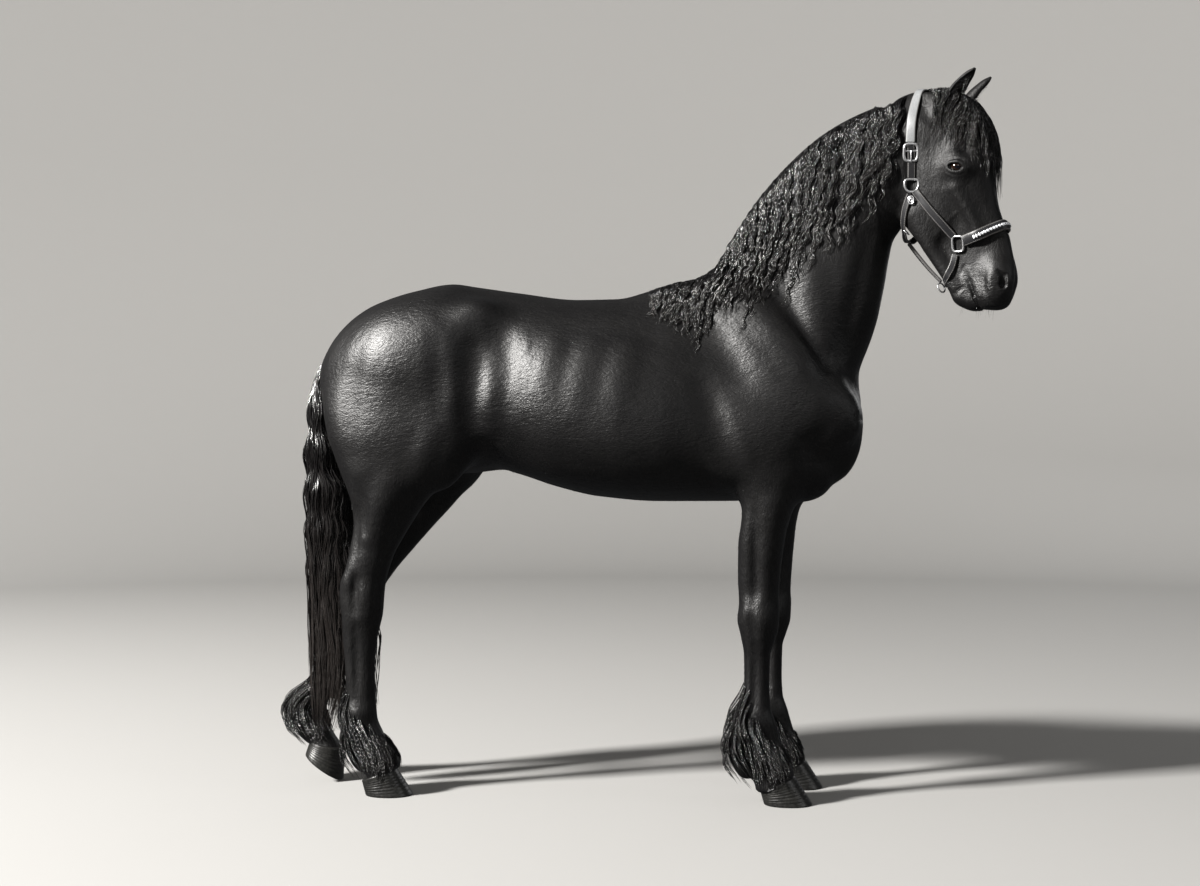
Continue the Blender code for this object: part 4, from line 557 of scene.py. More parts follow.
TRUNK_LINES = [  # points beside the skin, radius, rise above it (a groove below 0), how softly it melts in
    ([(-0.500, 0.26, 1.440), (-0.512, 0.26, 1.270), (-0.535, 0.24, 1.130)], 0.035, -0.011, 0.040),
    ([(-0.428, 0.27, 1.440), (-0.436, 0.27, 1.270), (-0.450, 0.26, 1.180),
      (-0.490, 0.24, 1.080)], 0.030, 0.007, 0.040),
    ([(-0.425, 0.22, 1.570), (-0.415, 0.28, 1.450), (-0.402, 0.29, 1.300),
      (-0.425, 0.28, 1.150)], 0.040, -0.008,
     0.050),
    ([(-0.625, 0.26, 1.470), (-0.610, 0.27, 1.320), (-0.604, 0.27, 1.180)], 0.030, -0.005, 0.040),
    ([(-0.630, 0.26, 1.160), (-0.660, 0.26, 1.080), (-0.690, 0.25, 1.000)], 0.032, 0.005, 0.040),
    ([(-0.850, 0.23, 1.420), (-0.885, 0.22, 1.230), (-0.860, 0.22, 1.020)], 0.030, -0.005, 0.040),
    ([(0.380, 0.20, 1.680), (0.470, 0.21, 1.540), (0.545, 0.20, 1.430),
      (0.630, 0.18, 1.310)], 0.030, -0.012, 0.032),
    ([(0.280, 0.20, 1.620), (0.440, 0.22, 1.460), (0.540, 0.22, 1.320),
      (0.580, 0.21, 1.200)], 0.045, 0.011, 0.050),
    ([(0.490, 0.17, 1.760), (0.522, 0.18, 1.590), (0.565, 0.18, 1.460),
      (0.635, 0.16, 1.330)], 0.040, 0.008, 0.045),
    ([(0.200, 0.24, 1.560), (0.260, 0.25, 1.420), (0.350, 0.26, 1.280)], 0.035, -0.005, 0.050),
    ([(0.190, 0.27, 1.340), (0.240, 0.27, 1.160), (0.320, 0.25, 1.000)], 0.038, -0.010, 0.040),
    ([(0.300, 0.25, 1.260), (0.420, 0.24, 1.190), (0.530, 0.22, 1.110)], 0.028, -0.004, 0.040),
    ([(0.715, 0.14, 1.840), (0.680, 0.14, 1.640), (0.640, 0.14, 1.470),
      (0.600, 0.14, 1.330)], 0.026, -0.007, 0.035),
    ([(0.540, 0.05, 1.030), (0.630, 0.03, 1.120), (0.680, 0.02, 1.260)], 0.026, -0.010, 0.030),
    ([(-0.250, 0.30, 1.480), (-0.290, 0.31, 1.340), (-0.310, 0.30, 1.180)], 0.050, 0.003, 0.040),
    ([(-0.130, 0.30, 1.480), (-0.165, 0.31, 1.340), (-0.190, 0.30, 1.160)], 0.050, 0.003, 0.040),
    ([(-0.010, 0.30, 1.460), (-0.045, 0.31, 1.320), (-0.075, 0.30, 1.140)], 0.050, 0.003, 0.040),
]
FORELEG_LINES = [  # (share from the rear edge to the front edge, height), radius, rise, melt
    ([(0.37, 0.540), (0.36, 0.420), (0.40, 0.340), (0.48, 0.270)], 0.010, -0.0050, 0.012),
    ([(0.52, 0.640), (0.56, 0.580), (0.57, 0.520)], 0.028, 0.0060, 0.026),
    ([(0.12, 0.640), (0.14, 0.600), (0.22, 0.560)], 0.014, 0.0040, 0.014),
    ([(0.26, 0.590), (0.34, 0.540), (0.42, 0.510)], 0.011, -0.0035, 0.014),
    ([(0.56, 1.000), (0.65, 0.840), (0.68, 0.720), (0.64, 0.620)], 0.032, 0.0070, 0.032),
    ([(0.28, 0.960), (0.32, 0.820), (0.38, 0.700), (0.40, 0.620)], 0.014, -0.0070, 0.018),
    ([(0.10, 0.960), (0.14, 0.800), (0.22, 0.650)], 0.024, 0.0030, 0.024),
    ([(0.34, 0.290), (0.38, 0.250), (0.44, 0.210)], 0.022, 0.0040, 0.020),
]
HINDLEG_LINES = [
    ([(0.14, 0.940), (0.19, 0.800), (0.24, 0.720)], 0.017, -0.0090, 0.018),
    ([(0.06, 0.750), (0.09, 0.700), (0.14, 0.650)], 0.018, 0.0040, 0.018),
    ([(0.60, 0.720), (0.68, 0.640), (0.72, 0.560)], 0.026, 0.0060, 0.026),
    ([(0.34, 0.710), (0.39, 0.640), (0.40, 0.560)], 0.012, -0.0055, 0.014),
    ([(0.39, 0.560), (0.43, 0.420), (0.42, 0.290)], 0.010, -0.0050, 0.012),
    ([(0.50, 1.040), (0.42, 0.880), (0.50, 0.740)], 0.038, 0.0080, 0.038),
    ([(0.22, 1.020), (0.26, 0.900), (0.30, 0.820)], 0.018, -0.0040, 0.022),
    ([(0.34, 0.290), (0.38, 0.250), (0.44, 0.210)], 0.022, 0.0040, 0.020),
]
LEG_RELIEF = 1.7                # how much stronger the lines are than their tables say
TRUNK_RELIEF = 1.15
LINE_STOPS = 8
LEG_MIDDLE = 0.150              # how far from the body's middle the legs' lines are given
LEG_BESIDE = 0.060              # and how far beside that, before they are laid on the skin
FACE_LINES = [
    ([(0.096, 0.10, -0.236), (0.117, 0.11, -0.217), (0.142, 0.11, -0.214),
      (0.170, 0.09, -0.234)], 0.0045, -0.0026, 0.005),
    ([(0.102, 0.10, -0.246), (0.130, 0.11, -0.268), (0.162, 0.09, -0.256)], 0.0045, -0.0016, 0.005),
    ([(0.100, 0.10, -0.226), (0.091, 0.10, -0.258), (0.094, 0.10, -0.310)], 0.0055, -0.0022, 0.007),
    ([(0.085, 0.10, -0.212), (0.120, 0.11, -0.194), (0.160, 0.10, -0.190)], 0.0140, 0.0030, 0.018),
    ([(0.030, 0.09, -0.490), (0.088, 0.09, -0.415), (0.126, 0.08, -0.378),
      (0.180, 0.07, -0.345)], 0.0050, 0.0016, 0.008),
    ([(0.095, 0.09, -0.280), (0.120, 0.09, -0.365), (0.155, 0.08, -0.440)], 0.0160, -0.0035, 0.022),
    ([(0.006, 0.09, -0.140), (0.004, 0.10, -0.260), (0.014, 0.10, -0.350)], 0.0140, -0.0030, 0.022),
    ([(0.238, 0.07, -0.540), (0.226, 0.07, -0.585), (0.232, 0.06, -0.634)], 0.0120, 0.0040, 0.014),
    ([(0.200, 0.07, -0.545), (0.200, 0.07, -0.600), (0.214, 0.06, -0.640)], 0.0080, -0.0020, 0.012),
    ([(0.152, 0.06, -0.535), (0.174, 0.06, -0.588), (0.194, 0.05, -0.640)], 0.0080, 0.0030, 0.010),
    ([(0.130, 0.06, -0.546), (0.146, 0.06, -0.592), (0.162, 0.05, -0.640)], 0.0070, 0.0024, 0.009),
    ([(0.146, 0.06, -0.528), (0.136, 0.06, -0.545), (0.126, 0.06, -0.570)], 0.0040, -0.0016, 0.005),
    ([(0.100, 0.04, -0.628), (0.126, 0.05, -0.606), (0.146, 0.05, -0.594)], 0.0060, -0.0020, 0.008),
]


def traced(lines, forms, frame=BODY, sides=(1, -1)):
    """Ridges and grooves along the skin's own surface that fade out at both ends, from lines beside it."""
    made = []
    share = np.linspace(0, 1, LINE_STOPS)
    for line, radius, rise, blend in lines:
        at = np.linspace(0, 1, len(line))
        line = np.stack([np.interp(share, at, values) for values in np.array(line, float).T], axis=1)
        fade = abs(rise) * np.sin(math.pi * share) ** 0.8
        sunk = radius + blend - 2 * np.sqrt(fade * blend)
        for side in sides:
            points = to_world(line * (1, side, 1), frame)
            centres = settle(points, forms, rounds=8, most=0.04, depth=-sunk if rise > 0 else sunk)
            made.append(Limb([(*centre, radius) for centre in centres], BODY, blend, False, rise < 0))
    return prepared(made)


def leg_lines(leg):
    """The leg's lines beside its outer and inner face."""
    fore = leg.startswith("foreleg")
    lines = FORELEG_LINES if fore else HINDLEG_LINES
    (rear_z, rear_x), (front_z, front_x) = leg_edges(leg)
    way = 1 if leg.endswith("left") else -1
    made = []
    for line, radius, rise, blend in lines:
        for face in (1, -1):
            points = []
            for share, z in line:
                start, end = np.interp(z, rear_z, rear_x), np.interp(z, front_z, front_x)
                points.append((float(start + (end - start) * share), way * (LEG_MIDDLE + face * LEG_BESIDE),
                               z))
            made.append((points, radius, LEG_RELIEF * rise, blend))
    return made


def with_lines(body, head):
    """The body's and the head's forms with their muscle, bone and fold lines."""
    lines = traced([(*line[:2], TRUNK_RELIEF * line[2], line[3]) for line in TRUNK_LINES], body)
    for leg in HOOVES:
        lines += traced(leg_lines(leg), body, BODY, (1,))
    return body + lines, head + traced(FACE_LINES, head, HEAD)


def prepared(forms):
    for form in forms:
        ends = np.vstack([points for points, _ in form.rough_meshes()])
        form.box = ends.min(axis=0), ends.max(axis=0)
    return forms


# Blender helpers

def linked(name, data):
    """An object of the data in the scene."""
    obj = bpy.data.objects.new(name, data)
    bpy.context.scene.collection.objects.link(obj)
    return obj


def shaped(name, shape):
    """An object of the edited shape, which is given up."""
    mesh = bpy.data.meshes.new(name)
    shape.to_mesh(mesh)
    shape.free()
    return linked(name, mesh)


def mesh_object(name, points, quads, tris=()):
    """An object from arrays of points, four-sided and three-sided faces, shaded smooth."""
    quads, tris = np.asarray(quads, np.int32).reshape(-1, 4), np.asarray(tris, np.int32).reshape(-1, 3)
    mesh = bpy.data.meshes.new(name)
    mesh.vertices.add(len(points))
    mesh.vertices.foreach_set("co", np.asarray(points, np.float32).ravel())
    corners = np.concatenate([quads.ravel(), tris.ravel()])
    starts = np.concatenate([np.arange(len(quads)) * 4, len(quads) * 4 + np.arange(len(tris)) * 3])
    mesh.loops.add(len(corners))
    mesh.loops.foreach_set("vertex_index", corners)
    mesh.polygons.add(len(starts))
    mesh.polygons.foreach_set("loop_start", starts.astype(np.int32))
    mesh.update(calc_edges=True)
    mesh.shade_smooth()
    return linked(name, mesh)


def listed_object(name, points, faces, smooth=True):
    """An object from lists of points and faces of any number of sides, its faces turned outwards."""
    shape = bmesh.new()
    corners = [shape.verts.new(tuple(point)) for point in points]
    for face in faces:
        shape.faces.new([corners[index] for index in face])
    bmesh.ops.recalc_face_normals(shape, faces=shape.faces)
    obj = shaped(name, shape)
    if smooth:
        obj.data.shade_smooth()
    return obj


def points_of(mesh):
    points = np.empty(len(mesh.vertices) * 3, np.float32)
    mesh.vertices.foreach_get("co", points)
    return points.reshape(-1, 3).astype(float)


def put_points(mesh, points):
    mesh.vertices.foreach_set("co", points.astype(np.float32).ravel())
    mesh.update()


def apply_modifiers(obj):
    """Replaces the object's mesh by the evaluated one."""
    bpy.context.view_layer.update()
    graph = bpy.context.evaluated_depsgraph_get()
    mesh = bpy.data.meshes.new_from_object(obj.evaluated_get(graph))
    obj.modifiers.clear()
    obj.data = mesh
    return obj


def merged(shapes):
    """Several (points, faces) lists as one."""
    points, faces = [], []
    for own, own_faces in shapes:
        start = len(points)
        points.extend(own)
        faces.extend([tuple(start + index for index in face) for face in own_faces])
    return points, faces


def set_piece(obj, material, slot, *nodes):
    """Moves a finished piece into the frame, gives it its material and hides the model's parts that it stands
    for.
    """
    obj.data.transform(Matrix.Translation(SHIFT))
    return claimed(obj, material, slot, *nodes)


def claimed(obj, material, slot, *nodes):
    """Gives a piece that is in its place its material and hides the model's parts that it stands for."""
    obj.data.materials.clear()
    obj.data.materials.append(material)
    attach(obj, "root")
    if nodes:
        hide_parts(*nodes)
    return obj


def unit(vectors):
    return vectors / np.maximum(np.linalg.norm(vectors, axis=-1, keepdims=True), 1e-9)


# Skin

def remeshed(name, rough_forms, voxel):
    """One closed rough skin round the forms."""
    points, faces = merged(shape for form in rough_forms if not form.carve for shape in form.rough_meshes())
    mesh = bpy.data.meshes.new(name)
    mesh.from_pydata([tuple(p) for p in points], [], faces)
    obj = linked(name, mesh)
    remesh = obj.modifiers.new("Remesh", "REMESH")
    remesh.mode, remesh.voxel_size, remesh.adaptivity = "VOXEL", voxel, 0.0
    return apply_modifiers(obj)


def cut_away(obj, point, normal):
    """Keeps the side of the plane that the normal looks away from, with an open rim."""
    shape = bmesh.new()
    shape.from_mesh(obj.data)
    geometry = shape.verts[:] + shape.edges[:] + shape.faces[:]
    bmesh.ops.bisect_plane(shape, geom=geometry, plane_co=point, plane_no=normal, clear_outer=True)
    shape.to_mesh(obj.data)
    shape.free()


def settled(obj, forms):
    """Lays the mesh on the skin of the forms, easing it between."""
    for most in (0.04, 0.02, 0.01):
        put_points(obj.data, settle(points_of(obj.data), forms, rounds=3, most=most))
        ease = obj.modifiers.new("Ease", "SMOOTH")
        ease.factor, ease.iterations = 0.5, 2
        apply_modifiers(obj)
    put_points(obj.data, settle(points_of(obj.data), forms, rounds=2))


def finer(obj, places):
    """Halves the edges near each (point, radius)."""
    shape = bmesh.new()
    shape.from_mesh(obj.data)
    edges = set()
    for point, radius in places:
        for edge in shape.edges:
            if (edge.verts[0].co - point).length < radius:
                edges.add(edge)
    bmesh.ops.subdivide_edges(shape, edges=list(edges), cuts=1, use_grid_fill=True)
    bmesh.ops.triangulate(shape, faces=[face for face in shape.faces if len(face.verts) > 4])
    shape.to_mesh(obj.data)
    shape.free()


def bridged(name, first, second):
    """One object of both meshes, with the gap between their open rims filled."""
    shape = bmesh.new()
    shape.from_mesh(first.data)
    shape.from_mesh(second.data)
    rims = [edge for edge in shape.edges if edge.is_boundary]
    bmesh.ops.bridge_loops(shape, edges=rims)
    bmesh.ops.recalc_face_normals(shape, faces=shape.faces)
    for obj in (first, second):
        bpy.data.objects.remove(obj)
    return shaped(name, shape)


SKIN_JOIN = -0.105              # where the head's finer skin begins, back from the poll in the head's frame
JOIN_WIDTH = 0.008
FINE_PLACES = [(0.134, 0.100, -0.240, 0.045), (0.262, 0.050, -0.585, 0.042), (0.175, 0.030, -0.630, 0.060)]


def skin_object(body, head):
    """The whole skin, finer at the head, the eyes, the nostrils and the mouth."""
    forms = body + head
    behind = remeshed("skin_body", forms, SKIN_VOXEL)
    rim = to_world([(SKIN_JOIN - JOIN_WIDTH / 2, 0, 0)], HEAD)[0]
    way = np.array(HEAD)[:3, 0]
    cut_away(behind, rim, way)
    settled(behind, forms)
    front = remeshed("skin_head", head + body[1:2], HEAD_VOXEL)
    cut_away(front, rim + way * JOIN_WIDTH, -way)
    settled(front, forms)
    places = [(Vector(to_world([(x, side * y, z)], HEAD)[0]), radius)
              for x, y, z, radius in FINE_PLACES for side in (-1, 1)]
    finer(front, places)
    put_points(front.data, settle(points_of(front.data), forms, rounds=3, most=0.01))
    skin = bridged("skin", behind, front)
    points = points_of(skin.data)
    for leg in HOOVES:
        points = in_hoof(points, leg)
    put_points(skin.data, points)
    skin.data.shade_smooth()
    return skin


def coronet_plane(leg):
    """A point of the coronet and the way up out of the hoof."""
    heel = Vector((CORONET_HEEL[0] - CORONET_FRONT[0], 0, CORONET_HEEL[1] - CORONET_FRONT[1]))
    up = Vector((0, 1, 0)).cross(heel).normalized()
    if up.z < 0:
        up = -up
    frame_of = hoof_frame(leg)
    return frame_of @ Vector((CORONET_FRONT[0], 0, CORONET_FRONT[1])), frame_of.to_3x3() @ up


def in_hoof(points, leg, depth=0.008):
    """Flattens what hangs below the coronet against a plane inside the hoof."""
    start, up = (np.array(value) for value in coronet_plane(leg))
    below = (points - start) @ up + depth
    (x, y), _ = HOOVES[leg]
    near = (below < 0) & (np.abs(points[:, 0] - x + 0.09) < 0.16) & (np.abs(points[:, 1] - y) < 0.10)
    near &= points[:, 2] < 0.20
    points[near] -= below[near, None] * up
    return points


# Ears

EAR_ROOT = (0.098, 0.060, -0.052)
EAR_TIP = (0.186, 0.076, 0.056)
EAR_WIDTH = [(0.0, 0.021), (0.12, 0.022), (0.30, 0.026), (0.50, 0.024), (0.70, 0.019), (0.86, 0.014),
             (1.0, 0.004)]
EAR_TURN = 35.0                 # degrees, how far outwards the cup opens from straight ahead
EAR_OPEN = math.radians(72)     # how far round from its middle the cup is open
EAR_BASE = 0.05                 # share of the ear's height where the cup begins


def ear_object(name, side, rings=36, sides=40):
    """A leaf of oval rings whose front is pushed back into a cup."""
    root, tip = (Vector((p[0], side * p[1], p[2])) for p in (EAR_ROOT, EAR_TIP))
    along = (tip - root).normalized()
    turn = math.radians(EAR_TURN)
    front = Vector((math.cos(turn), side * math.sin(turn), 0.0))
    front = (front - along * front.dot(along)).normalized()
    across = along.cross(front)
    places, widths = smooth_curve(EAR_WIDTH)
    points = []
    for ring in range(rings):
        f = ring / (rings - 1) * 1.12 - 0.12
        wide = float(np.interp(f, places, widths))
        lean = Vector((0.010, 0.0, 0.0)) * math.sin(math.pi * max(0.0, f))
        centre = root.lerp(tip, f) - lean
        open_to = 0.0
        if f > EAR_BASE:
            open_to = EAR_OPEN * math.sin(math.pi * min(1, max(0, (f - EAR_BASE) / 0.93))) ** 0.45
        for index in range(sides):
            angle = math.tau * index / sides
            off = math.pi / 2 - angle
            off = abs((off + math.pi) % math.tau - math.pi)
            push = 0.0
            if off < open_to:
                push = 1.25 * math.sqrt(1 - (off / open_to) ** 2) * min(1, (f - EAR_BASE) / 0.20)
            points.append(centre + across * math.cos(angle) * wide
                          + front * (math.sin(angle) * 0.8 - push) * wide)
    faces = tube_faces(rings, sides)
    return listed_object(name, to_world(np.array(points), HEAD), faces)


# Eyes

def eye_object(name, side, u=48, v=32):
    """The eyeball about its own origin, its front along the object's own X."""
    shape = bmesh.new()
    bmesh.ops.create_uvsphere(shape, u_segments=u, v_segments=v, radius=EYE_RADIUS)
    obj = shaped(name, shape)
    obj.data.shade_smooth()
    centre = HEAD @ Vector((EYE[0], side * EYE[1], EYE[2]))
    look = HEAD.to_3x3() @ Vector((EYE_AHEAD, side, -EYE_DOWN))
    obj.matrix_world = Matrix.Translation(centre + SHIFT) @ look.to_track_quat("X", "Z").to_matrix().to_4x4()
    return obj


# Hooves

HOOF_SIDES = 72
HOOF_RINGS = 40
GROWTH_RIDGE = 0.0006           # how far the growth rings stand off the wall


def hoof_node(leg):
    return leg.replace("leg", "_hoof")


def hoof_object(leg):
    """The hoof's wall with its growth rings, and its hollow sole."""
    rings = []
    for step in range(HOOF_RINGS):
        f = step / (HOOF_RINGS - 1)
        ridge = GROWTH_RIDGE * math.sin(58 * f + 1.2 * math.sin(9 * f)) * math.sin(math.pi * f)
        ridge -= 0.0025 * max(0.0, 1 - f / 0.03) + 0.004 * max(0.0, (f - 0.97) / 0.03)
        rings.append(hoof_ring(f, ridge))
    sole = [hoof_ring(0.0, -0.006), hoof_ring(0.0, -0.010, 0.004), hoof_ring(0.0, -0.030, 0.008)]
    rings = sole[::-1] + rings
    points = np.array([point for ring in rings for point in ring])
    faces = tube_faces(len(rings), HOOF_SIDES)
    return listed_object(hoof_node(leg) + "_wall", to_world(points, hoof_frame(leg)), faces)


def hoof_ring(f, grow, lift=0.0):
    """One ring round the hoof at share f of its height, grow out from the wall and lift up from the sole."""
    toe = (CORONET_FRONT[0] * f, CORONET_FRONT[1] * f)
    heel = (-HOOF_LENGTH + (CORONET_HEEL[0] + HOOF_LENGTH) * f, CORONET_HEEL[1] * f)
    wide = HOOF_WIDTH / 2 * (1 - HOOF_NARROWS * f) + grow
    ring = []
    for side in range(HOOF_SIDES):
        turn = math.tau * side / HOOF_SIDES
        along = 0.5 - 0.5 * math.cos(turn)
        across = math.copysign(abs(math.sin(turn)) ** 0.85, math.sin(turn)) * wide
        x = toe[0] + (heel[0] - toe[0]) * along + grow * math.cos(turn)
        ring.append((x, across, max(0.0, toe[1] + (heel[1] - toe[1]) * along) + lift))
    return ring


# Hair

TAIL_BACK = [(-1.000, 1.425), (-1.050, 1.375), (-1.081, 1.303), (-1.091, 1.254), (-1.089, 1.173),
             (-1.094, 1.060), (-1.098, 0.930), (-1.098, 0.800), (-1.094, 0.636), (-1.092, 0.457),
             (-1.090, 0.327), (-1.082, 0.220), (-1.060, 0.170)]
TAIL_FRONT = [(-0.960, 1.425), (-0.985, 1.375), (-1.007, 1.310), (-1.017, 1.254), (-1.005, 1.173),
              (-0.974, 1.060), (-0.938, 0.930), (-0.934, 0.800), (-0.938, 0.720), (-0.934, 0.630),
              (-0.926, 0.442), (-0.936, 0.260), (-0.985, 0.170)]
TAIL_WIDTH = [(-1.42, 0.020), (-1.33, 0.040), (-1.17, 0.062), (-0.93, 0.070), (-0.73, 0.062), (-0.44, 0.046),
              (-0.27, 0.038), (-0.17, 0.018)]
TAIL_SIDE = -0.022


def hair_object(name, centres, sides, outs, widths, flat, roots, dice):
    """Three-sided tapering strands as one mesh. roots are each strand's place on the skin's unwrap."""
    strands, rings = widths.shape
    points = np.empty((strands, rings, 3, 3), np.float32)
    for corner, (u, v) in enumerate(((1, -0.5), (0, 1), (-1, -0.5))):
        points[:, :, corner] = (centres + sides * (u * widths / 2)[..., None]
                                + outs * (v * widths * flat / 2)[..., None])
    base = (np.arange(strands)[:, None, None] * rings + np.arange(rings - 1)[None, :, None]) * 3
    corner = np.arange(3)[None, None, :]
    after = (corner + 1) % 3
    quads = np.stack([base + corner, base + after, base + 3 + after, base + 3 + corner], axis=-1)
    first = np.arange(strands) * rings * 3
    last = first + (rings - 1) * 3
    tris = np.concatenate([np.stack([first + 2, first + 1, first], axis=1),
                           np.stack([last, last + 1, last + 2], axis=1)])
    obj = mesh_object(name, points.reshape(-1, 3), quads, tris)
    mesh = obj.data
    vertex = np.empty(len(mesh.loops), np.int32)
    mesh.loops.foreach_get("vertex_index", vertex)
    strand, place = vertex // (rings * 3), (vertex // 3) % rings
    patch = np.stack([(vertex % 3) / 2.0, place / (rings - 1)], axis=1) * TUFT_PATCH
    layer = mesh.uv_layers.new(name="OFBake")
    layer.data.foreach_set("uv", (roots[strand] + patch).astype(np.float32).ravel())
    tone = mesh.attributes.new("strand", "FLOAT_VECTOR", "POINT")
    values = np.empty((strands, rings, 3, 3), np.float32)
    values[..., 0] = dice.random(strands)[:, None, None]
    values[..., 1] = np.linspace(0, 1, rings)[None, :, None]
    values[..., 2] = np.arange(3)[None, None, :] / 2
    tone.data.foreach_set("vector", values.ravel())
    return obj


TUFT_PATCH = 0.003


def grown(guides, outs, half_width, depth, per_guide, width, wave, starts, roots, dice, tip_hold=0.35,
          shortest=0.80, frizz=0.0015, calm=0.0, uneven=0.10, loose=0.2):
    """Strands round each guide, drawn together towards its tip.

    guides and outs are (guide, ring, 3) arrays. half_width and depth say how far strands spread across
    and out. wave is (length, across, out) of the crimp, each one number or one for every guide, and starts
    says where in the wave each guide begins. tip_hold is the share of the spread kept at the tip, shortest
    the least share of a guide that a strand follows, and frizz the swing of single strands. calm takes the
    waves from the lower half, uneven varies their length from guide to guide and loose their start from
    strand to strand. roots is each guide's place on the unwrap.
    """
    count, rings, _ = guides.shape
    along = unit(np.gradient(guides, axis=1))
    side = unit(np.cross(along, outs))
    up = unit(np.cross(side, along))
    pick = np.repeat(np.arange(count), per_guide)
    total = len(pick)
    u = dice.uniform(-1, 1, total)
    v = dice.uniform(0, 1, total)
    reach = dice.uniform(shortest, 1.0, total)
    share = np.linspace(0, 1, rings)[None] * reach[:, None]
    at = share * (rings - 1)
    low = np.clip(np.floor(at).astype(int), 0, rings - 2)
    mix = (at - low)[..., None]
    row = pick[:, None]

    def along_guide(values):
        return values[row, low] * (1 - mix) + values[row, low + 1] * mix

    centre, across, out = along_guide(guides), along_guide(side), along_guide(up)
    together = 1 - (1 - tip_hold) * share ** 1.5
    length = np.linalg.norm(np.diff(guides, axis=1), axis=2).sum(axis=1)[pick][:, None] * share
    wave_long, wave_side, wave_out = (np.broadcast_to(value, count)[pick][:, None] for value in wave)
    own = dice.uniform(1 - uneven, 1 + uneven, count)[pick][:, None]
    start = np.array(starts)[pick][:, None] + dice.normal(0, loose, total)[:, None]
    turn = math.tau * length / wave_long * own + start
    rise = np.clip(share * 4, 0, 1) * (1 - calm * np.clip(share * 2 - 0.4, 0, 1))
    sway = frizz * np.sin(math.tau * length / (wave_long * 2.3) + dice.uniform(0, math.tau, total)[:, None])
    centre = (centre
              + across * (u[:, None] * half_width[pick][:, None] * together
                          + wave_side * rise * np.sin(turn) + sway)[..., None]
              + out * (v[:, None] * depth[pick][:, None] * together * (0.25 + 0.75 * rise)
                       + wave_out * rise * np.cos(turn + 0.8))[..., None])
    taper = np.interp(np.linspace(0, 1, rings), (0, 0.1, 0.6, 0.9, 1), (0.8, 1.0, 0.85, 0.5, 0.18))[None]
    widths = width * dice.uniform(0.75, 1.2, total)[:, None] * taper
    places = roots[pick] + dice.uniform(-0.004, 0.004, (total, 2))
    return centre, across, out, widths, np.clip(places, 0.0, 1 - TUFT_PATCH)


def pieces_of_hair(name, made, flat, material, dice, most, node=None):
    """Splits a mass of strands into objects of at most so many strands each."""
    total = len(made[0])
    parts = max(1, math.ceil(total / most))
    order = dice.permutation(total)
    objects = []
    for part in range(parts):
        pick = order[part::parts]
        centre, across, out, widths, places = (values[pick] for values in made)
        obj = hair_object(f"{name}_{part + 1}", centre, across, out, widths, flat, places, dice)
        set_piece(obj, material, "coat", *([node] if node and part == 0 else []))
        objects.append(obj)
    return objects


def eased(paths, rounds=1):
    """Evens out each path of the array, its ends kept."""
    for _ in range(rounds):
        paths[:, 1:-1] = (paths[:, :-2] + 2 * paths[:, 1:-1] + paths[:, 2:]) / 4
    return paths


def settled_guides(guides, forms, heights, rounds=5):
    """Lays guide paths over the skin at their heights and returns them with the skin's outward ways."""
    flat = settle(guides.reshape(-1, 3), forms, rounds=rounds, most=0.05, depth=heights.reshape(-1))
    guides = eased(flat.reshape(guides.shape), 2)
    return guides, unit(eased(outward(guides, forms), 2))


def columns(rows):
    return [np.array(column) for column in zip(*rows)]


def even(guides, rings):
    """Guides resampled to so many evenly spaced rings."""
    out = np.empty((len(guides), rings, 3))
    for index, path in enumerate(guides):
        reach = run_along(path)
        at = np.linspace(0, reach[-1], rings)
        for axis in range(3):
            out[index, :, axis] = np.interp(at, reach, path[:, axis])
    return out


MANE_FALL = [  # along X, how far the mane hangs below the crest on the right side, and how far it drifts back
    (0.050, 0.13, 0.02), (0.110, 0.20, 0.04), (0.170, 0.27, 0.06), (0.230, 0.34, 0.07), (0.300, 0.42, 0.08),
    (0.370, 0.46, 0.08), (0.440, 0.49, 0.08), (0.510, 0.50, 0.07), (0.580, 0.48, 0.06), (0.650, 0.45, 0.06),
    (0.720, 0.41, 0.06), (0.780, 0.38, 0.07), (0.835, 0.35, 0.08)]
MANE_LAYERS = [  # guides, shortest and longest share of the fall, height off the skin, where the roots lie
    (54, 0.82, 1.03, 0.004, -0.012), (44, 0.64, 0.98, 0.010, -0.004), (32, 0.50, 0.90, 0.017, 0.004)]
MANE_RINGS = 50
UP_THE_NECK = (0.552, 0.834)    # the neck's way in the side view, as NECK_SIDE runs along it
BEHIND_STRAP = -0.046           # back from the poll in the head's frame, where the crown strap holds the mane
CRIMP = [  # along X: length of a wave, and how far it swings across and out
    (0.050, 0.052, 0.0036, 0.0012), (0.350, 0.056, 0.0044, 0.0016), (0.600, 0.064, 0.0058, 0.0020),
    (0.835, 0.084, 0.0080, 0.0030)]
MANE_THINS = (0.05, 0.28)       # along X, where the mane lies flat on the withers and where it is full


